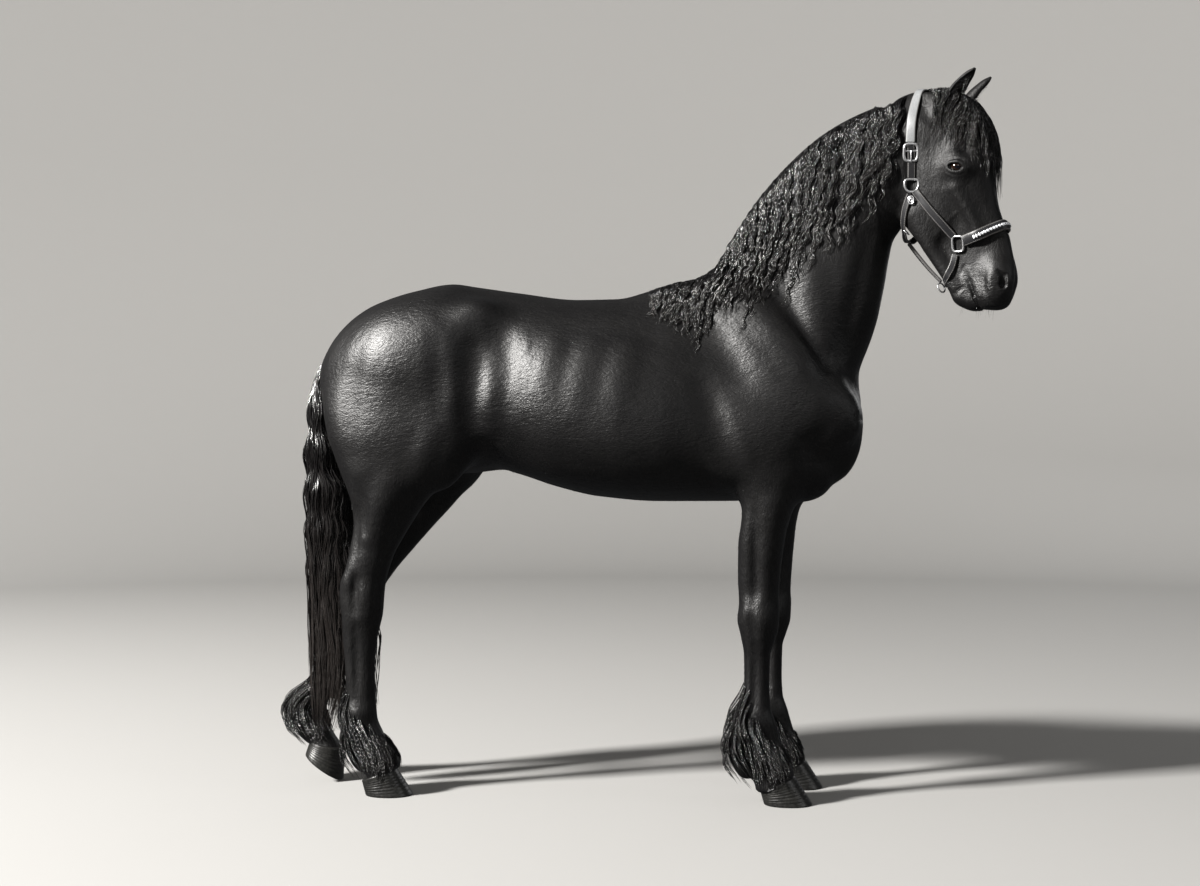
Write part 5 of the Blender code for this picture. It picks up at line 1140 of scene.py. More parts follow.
def mane(forms, material, dice):
    """The mane's locks, from the crest over the right side of the neck."""
    crest_x, crest_z = smooth_curve(CREST)
    side_x, side_y = np.array(NECK_SIDE).T
    places, falls, drifts = np.array(MANE_FALL).T
    locks = []
    f = np.linspace(0, 1, 26)
    for layer, (count, low, high, lift, part_at) in enumerate(MANE_LAYERS):
        for index in range(count):
            x = places[0] + (places[-1] - places[0]) * (index + dice.uniform(0, 1)) / count
            z = float(np.interp(x, crest_x, crest_z))
            side = float(np.interp(UP_THE_NECK[0] * x + UP_THE_NECK[1] * z, side_x, side_y))
            fall = float(np.interp(x, places, falls)) * dice.uniform(low, high)
            drift = float(np.interp(x, places, drifts)) + dice.normal(0, 0.012)
            sway, phase = dice.uniform(0.005, 0.014), dice.uniform(0, math.tau)
            full = float(np.interp(x, MANE_THINS, (0.35, 1.0)))
            path = np.stack([x - drift * f + sway * np.sin(phase + 8 * f) * f,
                             (side - part_at + 0.004 - 0.030 * np.minimum(1, 6 * f)
                              - 0.085 * np.minimum(1, 2.2 * f)),
                             z + 0.008 * full * np.exp(-f * 14) - fall * f], axis=1)
            rise = full * (lift + dice.uniform(-0.003, 0.005))
            height = np.interp(f, (0, 0.03, 0.15, 0.4, 1), (-0.004, 0.003, 0.65 * rise, rise, rise * 0.7))
            locks.append((path, height, dice.uniform(0.008, 0.015) * (1.2 - 0.2 * layer),
                          dice.uniform(0.005, 0.009) * full, 9.0 * x + dice.normal(0, 1.1) + 1.1 * layer,
                          ((x - places[0]) / (places[-1] - places[0]) * 0.98, 0.3 + 0.2 * layer), x))
    guides, heights, widths, depths, starts, roots, spots = columns(locks)
    guides, outs = settled_guides(guides, forms, heights)
    beside = to_local(guides.reshape(-1, 3), HEAD)
    beside[:, 0] = np.where(beside[:, 2] < -0.02, np.minimum(beside[:, 0], BEHIND_STRAP), beside[:, 0])
    guides = even(to_world(beside, HEAD).reshape(guides.shape), MANE_RINGS)
    outs = outward(guides, forms)
    crimp = np.array(CRIMP).T
    wave = [np.interp(spots, crimp[0], values) for values in crimp[1:]]
    made = grown(guides, outs, widths, depths, 16, 0.0032, wave, starts, roots, dice,
                 tip_hold=0.12, shortest=0.80, frizz=0.0016, loose=0.4)
    return pieces_of_hair("mane", made, 0.55, material, dice, 600)


FORELOCK = [  # across from right to left, how far down the locks end, how far to the right and how far ahead
    (-1.0, -0.150, 0.112, 0.048), (-0.85, -0.180, 0.110, 0.078), (-0.70, -0.205, 0.106, 0.112),
    (-0.50, -0.235, 0.092, 0.160), (-0.20, -0.290, 0.050, 0.215), (0.15, -0.325, 0.010, 0.225),
    (0.55, -0.340, -0.036, 0.210), (1.0, -0.330, -0.072, 0.190)]
FORELOCK_GUIDES = 88
FORELOCK_RINGS = 28


def forelock(forms, material, dice):
    """The forelock, from between the ears down over the forehead."""
    f = np.linspace(0, 1, 24)
    across, ends, sides, fronts = np.array(FORELOCK).T
    locks = []
    for index in range(FORELOCK_GUIDES):
        u = (index + dice.uniform(0, 1)) / FORELOCK_GUIDES * 2 - 1
        layer = index % 3
        bottom = float(np.interp(u, across, ends)) * dice.uniform((0.86, 0.70, 0.50)[layer], 1.02)
        wide = -float(np.interp(u, across, sides)) + dice.normal(0, 0.008)
        start_x, start_y = dice.uniform(0.015, 0.100), 0.034 * u
        front = float(np.interp(u, across, fronts))
        brow = min(0.160, front + 0.025)
        over = np.minimum(1, f * 3.2)
        path = np.stack([start_x + (brow - start_x) * over + (front - brow) * np.maximum(0, f * 1.45 - 0.45),
                         start_y + (wide - start_y) * f ** 0.8,
                         0.020 + (bottom - 0.020) * f], axis=1)
        rise = 0.006 + 0.006 * layer + dice.uniform(-0.002, 0.003)
        height = np.interp(f, (0, 0.05, 0.3, 1), (-0.003, 0.005, rise, rise * 0.8))
        locks.append((to_world(path, HEAD), height, dice.uniform(0.006, 0.011), dice.uniform(0.004, 0.008),
                      3.0 * u + dice.normal(0, 0.7), (0.4 + 0.1 * u, 0.5 + 0.1 * layer)))
    guides, heights, widths, depths, starts, roots = columns(locks)
    guides, outs = settled_guides(guides, forms, heights)
    guides = even(guides, FORELOCK_RINGS)
    outs = outward(guides, forms)
    made = grown(guides, outs, widths, depths, 10, 0.0027, (0.082, 0.0034, 0.0014), starts, roots, dice,
                 tip_hold=0.16, shortest=0.70, frizz=0.0024, loose=0.5)
    return pieces_of_hair("forelock", made, 0.55, material, dice, 900)


TAIL_RINGS = 38
TAIL_GUIDES = 95
TAIL_WAVE = (0.135, 0.0070, 0.0085)   # length of a wave, and how far it swings across and out
TAIL_WISPS = 1                  # stray locks that hang past the front of the near hind leg
TAIL_WISP_X = -0.846
TAIL_DOCK = (1.44, 1.14)        # heights between which the tail's hair grows
TAIL_ENDS = 0.165               # height above the floor that no tail hair hangs below
GOLDEN_TURN = 0.381966          # share of a full turn from one lock to the next, so none stand in rows


def tail(material, dice):
    """The tail's long locks, from the dock down to the fetlocks, inside the tail's outline."""
    f = np.linspace(0, 1, TAIL_RINGS)
    back_z, back_x = np.array(sorted((b, a) for a, b in TAIL_BACK)).T
    front_z, front_x = np.array(sorted((b, a) for a, b in TAIL_FRONT)).T
    wide_z, wide_y = np.array(sorted((-place, value) for place, value in TAIL_WIDTH)).T
    locks = []
    for index in range(TAIL_GUIDES):
        turn = math.tau * index * GOLDEN_TURN
        share = 0.35 + 0.60 * math.sqrt((index + 0.5) / TAIL_GUIDES)
        top = TAIL_DOCK[0] + (TAIL_DOCK[1] - TAIL_DOCK[0]) * dice.uniform(0, 1)
        low = 0.175 + dice.uniform(0, 1) ** 2.6 * 0.24
        z = top + (low - top) * f
        ripple = 0.10 * np.sin(dice.uniform(0, math.tau) + z * dice.uniform(9, 14))
        swing = turn + ripple
        back, front = np.interp(z, back_z, back_x), np.interp(z, front_z, front_x)
        width = np.interp(z, wide_z, wide_y)
        out = share * np.interp(f, (0, 0.06, 0.25, 1), (0.35, 0.7, 1.0, 0.95))
        path = np.stack([(back + front) / 2 + (front - back) / 2 * out * np.cos(swing),
                         TAIL_SIDE + width * out * np.sin(swing), z], axis=1)
        locks.append((path, np.stack([np.cos(swing), np.sin(swing), np.zeros_like(swing)], axis=1),
                      dice.uniform(0.008, 0.016), dice.uniform(0.004, 0.008),
                      -math.tau * top / TAIL_WAVE[0] + 0.8 * math.sin(turn) + dice.normal(0, 0.45),
                      (0.5 + 0.405 * math.cos(turn),
                       0.95 * (top - TAIL_DOCK[1]) / (TAIL_DOCK[0] - TAIL_DOCK[1]))))
    for index in range(TAIL_WISPS):
        top = 1.05 - 0.05 * index
        z = top + (0.26 + 0.07 * index - top) * f
        ahead = np.interp(z, (0.30, 0.50, 0.80), (TAIL_WISP_X - 0.012 * index, TAIL_WISP_X, -0.960))
        beside = np.interp(z, (0.4, 0.9), (-0.075, -0.050))
        path = np.stack([ahead + 0.004 * np.sin(14 * z + index), beside, z], axis=1)
        locks.append((path, np.repeat([[0.3, -0.95, 0.0]], TAIL_RINGS, axis=0), 0.012, 0.003,
                      dice.uniform(0, math.tau), (0.9, 0.1 + 0.1 * index)))
    guides, outs, widths, depths, starts, roots = columns(locks)
    made = grown(guides, outs, widths, depths, 16, 0.0036, TAIL_WAVE, starts, roots, dice,
                 tip_hold=0.75, shortest=0.80, frizz=0.0045, calm=0.94, uneven=0.03)
    centre = made[0]
    centre[..., 2] = np.maximum(centre[..., 2], TAIL_ENDS)
    return pieces_of_hair("tail", made, 0.45, material, dice, 700, "tail")


FEATHERS = {  # how high the hair starts behind, how far back it reaches, where it ends above the floor
    "foreleg_right": (0.375, 0.028, 0.040),
    "foreleg_left": (0.375, 0.028, 0.040),
    "hindleg_right": (0.350, 0.022, 0.036),
    "hindleg_left": (0.380, 0.024, 0.110),
}
FRINGE_TOP = 0.170              # where the short hair over the front of the coronet starts
FEATHER_GUIDES = 150
OVER_FLOOR = 0.006              # feather ends this far above the floor at least


def off_hoof(points, leg, gap):
    """Moves points beside the hoof out to gap from its wall, which leans back as it rises."""
    near = to_local(points, hoof_frame(leg))
    share = np.clip(near[:, 2] / CORONET_FRONT[1], 0.0, 1.0)
    toe, heel = CORONET_FRONT[0] * share, -HOOF_LENGTH + (CORONET_HEEL[0] + HOOF_LENGTH) * 2 * share
    middle = np.stack([(toe + heel) / 2, np.zeros_like(share)], axis=1)
    sizes = np.stack([(toe - heel) / 2 + gap, HOOF_WIDTH / 2 * (1 - HOOF_NARROWS * share) + gap], axis=1)
    reach = np.linalg.norm((near[:, :2] - middle) / sizes, axis=1)
    beside = (near[:, 2] < CORONET_FRONT[1] + 0.01) & (reach < 1) & (reach > 0)
    near[beside, :2] = middle[beside] + (near[beside, :2] - middle[beside]) / reach[beside, None]
    return to_world(near, hoof_frame(leg))


def leg_edges(leg):
    """The leg's rear and front edge as (heights, places) pairs."""
    fore = leg.startswith("foreleg")
    ahead = HOOVES[leg][0][0] - HOOVES["foreleg_right"][0][0] if fore else 0.0
    rear = FORELEG_REAR if fore else RESTING_REAR if leg == "hindleg_left" else STANDING_REAR
    front = FORELEG_FRONT if fore else RESTING_FRONT if leg == "hindleg_left" else STANDING_FRONT
    return [(np.array(sorted((z, x + ahead) for x, z in edge)).T) for edge in (rear, front)]


def skin_reach(starts, ways, forms, most=0.15, steps=36):
    """How far the skin reaches from each start along its way."""
    reach = np.linspace(0, most, steps)
    points = starts[:, None, :] + ways[:, None, :] * reach[None, :, None]
    inside = field(points.reshape(-1, 3), forms).reshape(len(starts), steps) < 0
    last = np.where(inside.any(axis=1), steps - 1 - np.argmax(inside[:, ::-1], axis=1), 0)
    return reach[last] + reach[1] / 2


def feathers(leg, forms, material, dice):
    """The long hair behind the cannon and round the fetlock, and the fringe over the coronet."""
    top, spread, low = FEATHERS[leg]
    (_, toe_y), tip = HOOVES[leg]
    (rear_z, rear_x), (front_z, front_x) = leg_edges(leg)
    tufts, count, steps = [], FEATHER_GUIDES, 11
    for index in range(count):
        share = (index + 0.5) / count
        turn = math.radians((index * 137.508) % 360 - 180)
        behind = 0.5 + 0.5 * math.cos(turn)
        start = (FRINGE_TOP + (top - FRINGE_TOP) * behind ** 1.3 * (1 - share) ** 0.8
                 + 0.03 * (dice.random() - 0.5))
        start = max(start, 0.115 if behind > 0.5 else 0.125)
        end = low + (0.052 + 0.030 * math.cos(turn * 2)) * (1 - behind) + dice.uniform(-0.010, 0.035)
        start += 0.05 if tip else 0.0
        length = min(start - end, dice.uniform(0.13, 0.21))
        tufts.append((turn, start, max(0.035, length), behind))
    turn, start, length, behind = np.array(tufts).T
    z = start[:, None] - length[:, None] * np.linspace(0, 1, steps)[None]
    z = np.maximum(z, 0.012)
    middle = (np.interp(z, rear_z, rear_x) + np.interp(z, front_z, front_x)) / 2
    ways = np.stack([-np.cos(turn), np.sin(turn), np.zeros(count)], axis=1)
    centres = np.stack([middle, np.full_like(z, toe_y), z], axis=-1)
    reach = skin_reach(centres.reshape(-1, 3), np.repeat(ways, steps, axis=0), forms).reshape(z.shape)
    share = np.linspace(0, 1, steps)[None]
    lift = np.sin(math.pi * 0.88 * share ** 1.3)
    reach = reach - 0.003 + np.minimum(1, share * 5) * 0.004
    reach += lift * (0.003 + spread * behind[:, None] ** 2 * dice.uniform(0.1, 1.0, (count, 1)) ** 0.5)
    for step in range(1, steps):
        drop = z[:, step - 1] - z[:, step]
        fall = drop * (1.3 - 0.6 * behind)
        reach[:, step] = np.maximum(reach[:, step], reach[:, step - 1] - fall)
    guides = eased(centres + ways[:, None, :] * reach[..., None])
    guides = off_hoof(guides.reshape(-1, 3), leg, 0.004).reshape(guides.shape)
    outs = np.repeat(ways[:, None, :], steps, axis=1)
    widths, depths = dice.uniform(0.008, 0.013, count), dice.uniform(0.003, 0.006, count)
    roots = np.stack([0.5 + 0.45 * np.sin(turn), 0.1 + 2.0 * start], axis=1)
    made = grown(guides, outs, widths, depths, 9, 0.0029, (0.090, 0.0012, 0.0010), 2.0 * turn, roots, dice,
                 tip_hold=0.80, shortest=0.74, frizz=0.0012)
    centre = made[0]
    centre[..., 2] = np.maximum(centre[..., 2], OVER_FLOOR)
    return pieces_of_hair("feather_" + leg, made, 0.55, material, dice, 1400)


SHORT_HAIRS = 2300
SHORT_LENGTH = (0.008, 0.017)
SHORT_WIDTH = 0.0011
SHORT_RINGS = 4
TRUNK_BOTTOM = 1.05             # heights below this are on the legs
AROUND_EYE = 0.045              # no short hairs stand this near the middle of an eye


def lying_hair(name, starts, ways, outs, lengths, lift, width, roots, material, dice, rings=SHORT_RINGS):
    """Single hairs from starts along ways, that rise off the skin by lift times their length."""
    share = np.linspace(0, 1, rings)
    length = lengths[:, None, None]
    centres = (starts[:, None] + ways[:, None] * length * share[None, :, None]
               + outs[:, None] * (length * lift * share[None, :, None] ** 1.5 - 0.0006))
    sides = np.repeat(unit(np.cross(ways, outs))[:, None], rings, axis=1)
    taper = np.linspace(1.0, 0.25, rings)[None]
    widths = width * dice.uniform(0.7, 1.2, len(starts))[:, None] * taper
    obj = hair_object(name, centres, sides, np.repeat(outs[:, None], rings, axis=1), widths, 0.6, roots, dice)
    return set_piece(obj, material, "coat")


def short_tufts(points, normals, material, dice):
    """Short hairs that stand off the skin all round, thicker at the edges of the legs, jaw and belly."""
    near = to_local(points, HEAD)
    on_head = near[:, 0] > SKIN_JOIN
    weight = np.where(on_head, 0.10, 0.35)
    low = points[:, 2] < TRUNK_BOTTOM
    weight += 2.0 * (low & (np.abs(normals[:, 0]) > 0.6))
    weight += 0.9 * ((points[:, 2] > 0.90) & (normals[:, 2] < -0.5) & ~on_head)
    weight += 0.5 * (on_head & (normals[:, 2] < -0.2) & (near[:, 2] < -0.30))
    weight[points[:, 2] < 0.10] = 0.0
    for side, _ in SIDES:
        weight[np.linalg.norm(near - np.array(EYE) * (1, side, 1), axis=1) < AROUND_EYE] = 0.0
    pick = dice.choice(len(points), SHORT_HAIRS, replace=False, p=weight / weight.sum())
    starts, outs = points[pick], normals[pick]
    flow = np.array([-0.80, 0.0, -0.55])[None] + dice.normal(0, 0.16, (SHORT_HAIRS, 3))
    flow[starts[:, 2] < TRUNK_BOTTOM] += (0.65, 0.0, -0.8)
    flow[starts[:, 0] > 0.62] += (0.60, 0.0, -0.8)
    flow[on_head[pick]] = np.array(HEAD.to_3x3() @ Vector((0.30, 0.0, -0.95)))
    ways = unit(flow - (flow * outs).sum(axis=1)[:, None] * outs)
    round_body = np.arctan2(outs[:, 1], outs[:, 2]) / math.tau + 0.5
    along_body = (starts[:, 0] + 1.2) / 2.5
    roots = np.clip(np.stack([round_body, along_body], axis=1), 0.0, 1 - TUFT_PATCH)
    lengths = dice.uniform(*SHORT_LENGTH, SHORT_HAIRS) * np.where(on_head[pick], 0.6, 1.0)
    lying_hair("short_tufts", starts, ways, outs, lengths, 0.26, SHORT_WIDTH, roots, material, dice)


WHISKERS = 46
EAR_HAIRS = 80                  # in each ear


def whiskers(forms, material, dice):
    """Stiff single hairs round the lips, the nostrils and the chin."""
    across = dice.uniform(-1, 1, WHISKERS)
    down = dice.uniform(0, 1, WHISKERS)
    places = np.stack([0.120 + 0.110 * dice.random(WHISKERS), across * 0.060, -0.585 - 0.085 * down], axis=1)
    starts = settle(to_world(places, HEAD), forms, rounds=8, most=0.03)
    outs = outward(starts, forms)
    down_face = np.array(HEAD.to_3x3() @ Vector((0.10, 0.0, -0.9)))
    flow = down_face + 0.9 * outs + dice.normal(0, 0.2, outs.shape)
    roots = np.stack([0.5 + 0.4 * across, 0.9 + 0.05 * down], axis=1)
    lying_hair("whiskers", starts, unit(flow), unit(np.cross(np.cross(flow, outs), flow)),
               dice.uniform(0.016, 0.036, WHISKERS), 0.15, 0.0007, roots, material, dice, rings=6)


def ear_hair(name, side, material, dice):
    """Soft hair that fills the lower half of the ear's cup."""
    root, tip = (np.array((p[0], side * p[1], p[2])) for p in (EAR_ROOT, EAR_TIP))
    along = unit((tip - root)[None])[0]
    turn = math.radians(EAR_TURN)
    front = np.array((math.cos(turn), side * math.sin(turn), 0.0))
    front = unit((front - along * front.dot(along))[None])[0]
    across = np.cross(along, front)
    f = dice.uniform(0.18, 0.78, EAR_HAIRS)
    edge = np.sign(dice.uniform(-1, 1, EAR_HAIRS)) * dice.uniform(0.55, 0.92, EAR_HAIRS)
    wide = np.interp(f, *smooth_curve(EAR_WIDTH))
    starts = (root + (tip - root) * f[:, None] - np.array((0.010, 0, 0)) * np.sin(math.pi * f)[:, None]
              + across * (edge * wide)[:, None] + front * (0.25 * wide)[:, None])
    ways = unit(front[None] * 0.5 - across * np.sign(edge)[:, None] * 0.8 + along * 0.9
                + dice.normal(0, 0.2, (EAR_HAIRS, 3)))
    outs = unit(np.cross(ways, np.cross(np.repeat(front[None], EAR_HAIRS, axis=0), ways)))
    roots = np.stack([0.3 + 0.1 * side + 0.05 * edge, 0.92 + 0.05 * f], axis=1)
    turned = np.array(HEAD.to_3x3()).T
    lying_hair(name, to_world(starts, HEAD), ways @ turned, outs @ turned,
               dice.uniform(0.012, 0.026, EAR_HAIRS), 0.2, 0.0014, roots, material, dice, rings=5)


# Headcollar

LEATHER = 0.0045
CLEAR = 0.0030                  # between the skin and the leather's inner face


def laid(path, forms, height, free=()):
    """Path points of the head's frame moved to stand height off the skin, except those in free."""
    points = to_world(np.array(path, float), HEAD)
    on_skin = settle(points, forms, rounds=6, depth=height)
    for index in free:
        on_skin[index] = points[index]
    return on_skin


def strap_object(name, points, forms, width, thick, crown=0.0, spacing=0.004):
    """A strap with rounded edges along the points, with its length and width laid out for the stitches."""
    points = spline_points(points, spacing)
    _, normals = slope_of(points, forms)
    along = unit(np.gradient(points, axis=0))
    for _ in range(8):
        normals = unit(normals - (normals * along).sum(axis=1)[:, None] * along)
        normals[1:-1] = (normals[:-2] + normals[1:-1] * 2 + normals[2:]) / 4
    normals = unit(normals - (normals * along).sum(axis=1)[:, None] * along)
    across = np.cross(along, normals)
    section = []
    edge = min(thick * 0.35, 0.0016)
    half, tall = width / 2, thick / 2
    for u in np.linspace(-1, 1, 9):
        section.append((u * (half - edge), tall + crown * (1 - u * u)))
    section += [(half, tall - edge), (half, -tall + edge)]
    section += [(u * (half - edge), -tall) for u in (1, 0, -1)]
    section += [(-half, -tall + edge), (-half, tall - edge)]
    rings = [centre + side * u + out * v
             for centre, out, side in zip(points, normals, across) for u, v in section]
    sides = len(section)
    obj = listed_object(name, rings, tube_faces(len(points), sides))
    reach = run_along(points)
    lay = obj.data.attributes.new("lay", "FLOAT_VECTOR", "POINT")
    values = [(reach[index // sides], section[index % sides][0], half) for index in range(len(rings))]
    lay.data.foreach_set("vector", np.array(values, np.float32).ravel())
    obj.data.set_sharp_from_angle(angle=math.radians(50))
    return obj


def plate_frame(centre, forms, lift, along=(0, 0, 1)):
    """A frame on the skin: X along the sideways way, Y along the given way of the head, Z outwards."""
    point = laid([centre], forms, lift)
    _, normal = slope_of(point, forms)
    out = Vector(normal[0]).normalized()
    up = HEAD.to_3x3() @ Vector(along)
    up = (up - out * up.dot(out)).normalized()
    side = up.cross(out)
    turn = Matrix((side, up, out)).transposed().to_4x4()
    return Matrix.Translation(Vector(point[0])) @ turn


def wire_points(outline, radius, flat=1.0, sides=12, count=72):
    """Points and faces of a closed round bar along an outline in the XY plane, evenly spread."""
    outline = np.array(outline + outline[:1])
    reach = run_along(outline)
    at = np.linspace(0, reach[-1], count, endpoint=False)
    path = np.stack([np.interp(at, reach, outline[:, axis]) for axis in range(2)], axis=1)
    for _ in range(3):
        path = (np.roll(path, 1, axis=0) + 2 * path + np.roll(path, -1, axis=0)) / 4
    way = unit(np.roll(path, -1, axis=0) - np.roll(path, 1, axis=0))
    out = np.stack([way[:, 1], -way[:, 0]], axis=1)
    points, faces = [], []
    for index in range(count):
        for side in range(sides):
            turn = math.tau * side / sides
            x, y = path[index] + out[index] * math.cos(turn) * radius
            points.append((x, y, math.sin(turn) * radius * flat))
            after, beside = (index + 1) % count, (side + 1) % sides
            faces.append((index * sides + side, index * sides + beside,
                          after * sides + beside, after * sides + side))
    return points, faces


def bar_points(start, end, radius, sides=12):
    """Points and faces of a round bar with domed ends between two points."""
    start, end = Vector(start), Vector(end)
    along = (end - start).normalized()
    side_way = along.orthogonal().normalized()
    up = along.cross(side_way)
    points = []
    stops = [(-0.9, 0.35), (-0.6, 0.8), (0, 1.0)]
    for reach, size in stops:
        points += ring_round(start + along * reach * radius, side_way, up, radius * size, sides)
    for reach, size in stops[::-1]:
        points += ring_round(end - along * reach * radius, side_way, up, radius * size, sides)
    return points, tube_faces(len(points) // sides, sides)


def ring_round(centre, side_way, up, radius, sides):
    turns = [math.tau * side / sides for side in range(sides)]
    return [centre + (side_way * math.cos(turn) + up * math.sin(turn)) * radius for turn in turns]


def joined(name, shapes, place, smooth=True):
    """One object of several point and face lists, put into the place's frame."""
    points, faces = merged(shapes)
    return listed_object(name, [place @ Vector(point) for point in points], faces, smooth)


def rounded_outline(width, height, power=4.0, count=48, point=0.0):
    """A rounded rectangle, drawn down to a point at its lower edge by point."""
    outline = []
    for index in range(count):
        turn = math.tau * index / count
        c, s = math.cos(turn), math.sin(turn)
        reach = (abs(c) ** power + abs(s) ** power) ** (-1 / power)
        x, y = c * reach * width / 2, s * reach * height / 2
        if y < 0:
            x *= 1 - point * (-2 * y / height) ** 1.5
        outline.append((x, y))
    return outline


GEM_RINGS = [(0.55, 0.55, 0.0), (0.30, 0.85, 0.5), (0.05, 1.0, 0.0), (-0.5, 0.5, 0.5), (-0.85, 0.08, 0.5)]


def gem_points(radius, sides=8):
    """A brilliant with a table, a crown and a pavilion, its table at +Z."""
    points = []
    for height, size, turn in GEM_RINGS:
        for index in range(sides):
            angle = math.tau * (index + turn) / sides
            points.append((math.cos(angle) * size * radius, math.sin(angle) * size * radius, height * radius))
    return points, tube_faces(len(GEM_RINGS), sides)


CROWN = [(-0.014, 0.080, -0.150), (-0.010, 0.078, -0.110), (-0.004, 0.066, -0.050), (0.000, 0.040, -0.004),
         (0.000, 0.000, 0.012)]
NOSEBAND = [(0.146, 0.062, -0.460), (0.190, 0.056, -0.443), (0.230, 0.046, -0.427), (0.262, 0.026, -0.412),
            (0.272, 0.000, -0.408)]
THROAT_STRAP = [(-0.014, 0.082, -0.312), (-0.022, 0.080, -0.350), (-0.034, 0.074, -0.395),
                (-0.046, 0.056, -0.426), (-0.052, 0.030, -0.442), (-0.054, 0.000, -0.448)]
CHIN_STRAP = [(0.116, 0.062, -0.500), (0.106, 0.056, -0.535), (0.090, 0.046, -0.562), (0.072, 0.026, -0.580),
              (0.068, 0.000, -0.584)]
JAW_STRAP = [(-0.052, 0.0, -0.452), (-0.022, 0.0, -0.491), (0.014, 0.0, -0.534), (0.052, 0.0, -0.574)]
STONES = 29
STONE = 0.0041


def around(path):
    """The path of the left half, run from the right side over to the left."""
    return [(x, -y, z) for x, y, z in path] + path[-2::-1]


def headcollar(forms, leather, painted_highlight_leather, metal, stone):
    """Straps, buckles, rings and the stones on the noseband."""

    def strap(name, path, width, thick=LEATHER, free=(), crown=0.0, material=leather):
        points = laid(path, forms, CLEAR + thick / 2, free)
        obj = strap_object(name + "_leather", points, forms, width, thick, crown)
        return set_piece(obj, material, "leather", name)

    def ring(width, height, power, radius, flat=1.0, point=0.0):
        return wire_points(rounded_outline(width, height, power, point=point), radius, flat)

    def wires(name, centre, lift, shapes, node=True, along=(0, 0, 1)):
        """Round bars lift off the leather's inner face at centre, for the node of that name or for none."""
        place = plate_frame(centre, forms, CLEAR + lift, along)
        obj = joined(name + "_metal" if node else name, shapes, place)
        set_piece(obj, metal, "metal", *([name] if node else []))

    # The crown strap takes the pale copy of the black leather: its lighter colour is a painted highlight for
    # light on glossy leather.
    strap("crown_strap", around(CROWN), 0.028, crown=0.0006, material=painted_highlight_leather)
    strap("noseband", around(NOSEBAND), 0.034, 0.008, crown=0.003)
    strap("throat_strap", around(THROAT_STRAP), 0.020, free=range(3, 8))
    strap("chin_strap", around(CHIN_STRAP), 0.020, free=range(3, 6))
    strap("jaw_strap", JAW_STRAP, 0.016, 0.0075, free=range(4), crown=0.0015)
    wires("chin_ring", (0.064, 0.0, -0.590), 0.024, [ring(0.030, 0.030, 2.2, 0.0026)], along=(0.6, 0, -0.8))
    for side, word in SIDES:
        def on_side(*path):
            return [(x, side * y, z) for x, y, z in path]

        def fitting(name, x, y, z, lift, *shapes, node=True):
            wires(name + "_" + word, (x, side * y, z), lift, shapes, node)

        fitting("buckle", -0.016, 0.080, -0.182, 0.0035, ring(0.042, 0.052, 4.0, 0.0044, 0.8),
                bar_points((-0.020, 0.004, 0.0), (0.020, 0.004, 0.0), 0.0022),
                bar_points((0.0, 0.005, 0.002), (0.0, -0.026, 0.0045), 0.0019))
        strap("temple_strap_" + word,
              on_side((-0.015, 0.080, -0.160), (-0.014, 0.081, -0.200), (-0.012, 0.084, -0.262)), 0.024)
        fitting("upper_ring", -0.010, 0.084, -0.286, 0.0035, ring(0.042, 0.038, 5.0, 0.0034, point=0.45))
        strap("cheek_strap_" + word,
              on_side((0.004, 0.088, -0.303), (0.045, 0.090, -0.358), (0.080, 0.086, -0.402),
                      (0.116, 0.076, -0.450)), 0.024, 0.006, crown=0.0012)
        fitting("eyelet", -0.008, 0.084, -0.330, 0.0045, ring(0.017, 0.024, 2.3, 0.0017),
                ring(0.008, 0.012, 2.0, 0.0022), node=False)
        fitting("slide", -0.042, 0.060, -0.428, 0.0040, ring(0.026, 0.017, 5.0, 0.0020), node=False)
        fitting("lower_ring", 0.126, 0.070, -0.470, 0.0040, ring(0.034, 0.046, 5.0, 0.0034))
    set_stones(forms, metal, stone)


def set_stones(forms, metal, stone):
    """A row of clear stones in round settings along the noseband."""
    path = laid(around(NOSEBAND), forms, CLEAR + 0.008 + 0.0042)
    places = spline_points(path, 0.002)
    picks = np.linspace(0.11, 0.89, STONES) * (len(places) - 1)
    gems, cups = [], []
    for pick in picks.round().astype(int):
        point = places[pick]
        _, normal = slope_of(point[None], forms)
        out = Vector(normal[0]).normalized()
        turn = out.to_track_quat("Z", "Y").to_matrix().to_4x4()
        place = Matrix.Translation(Vector(point)) @ turn
        points, faces = gem_points(STONE)
        gems.append(([place @ Vector(p) for p in points], faces))
        points, faces = wire_points(rounded_outline(STONE * 2.3, STONE * 2.3, 2.0), 0.0009, 1.6, 8, 24)
        cups.append(([place @ Vector(p) for p in points], faces))
    set_piece(joined("noseband_stones", gems, BODY, smooth=False), stone, "metal")
    set_piece(joined("noseband_settings", cups, BODY), metal, "metal")


# Materials

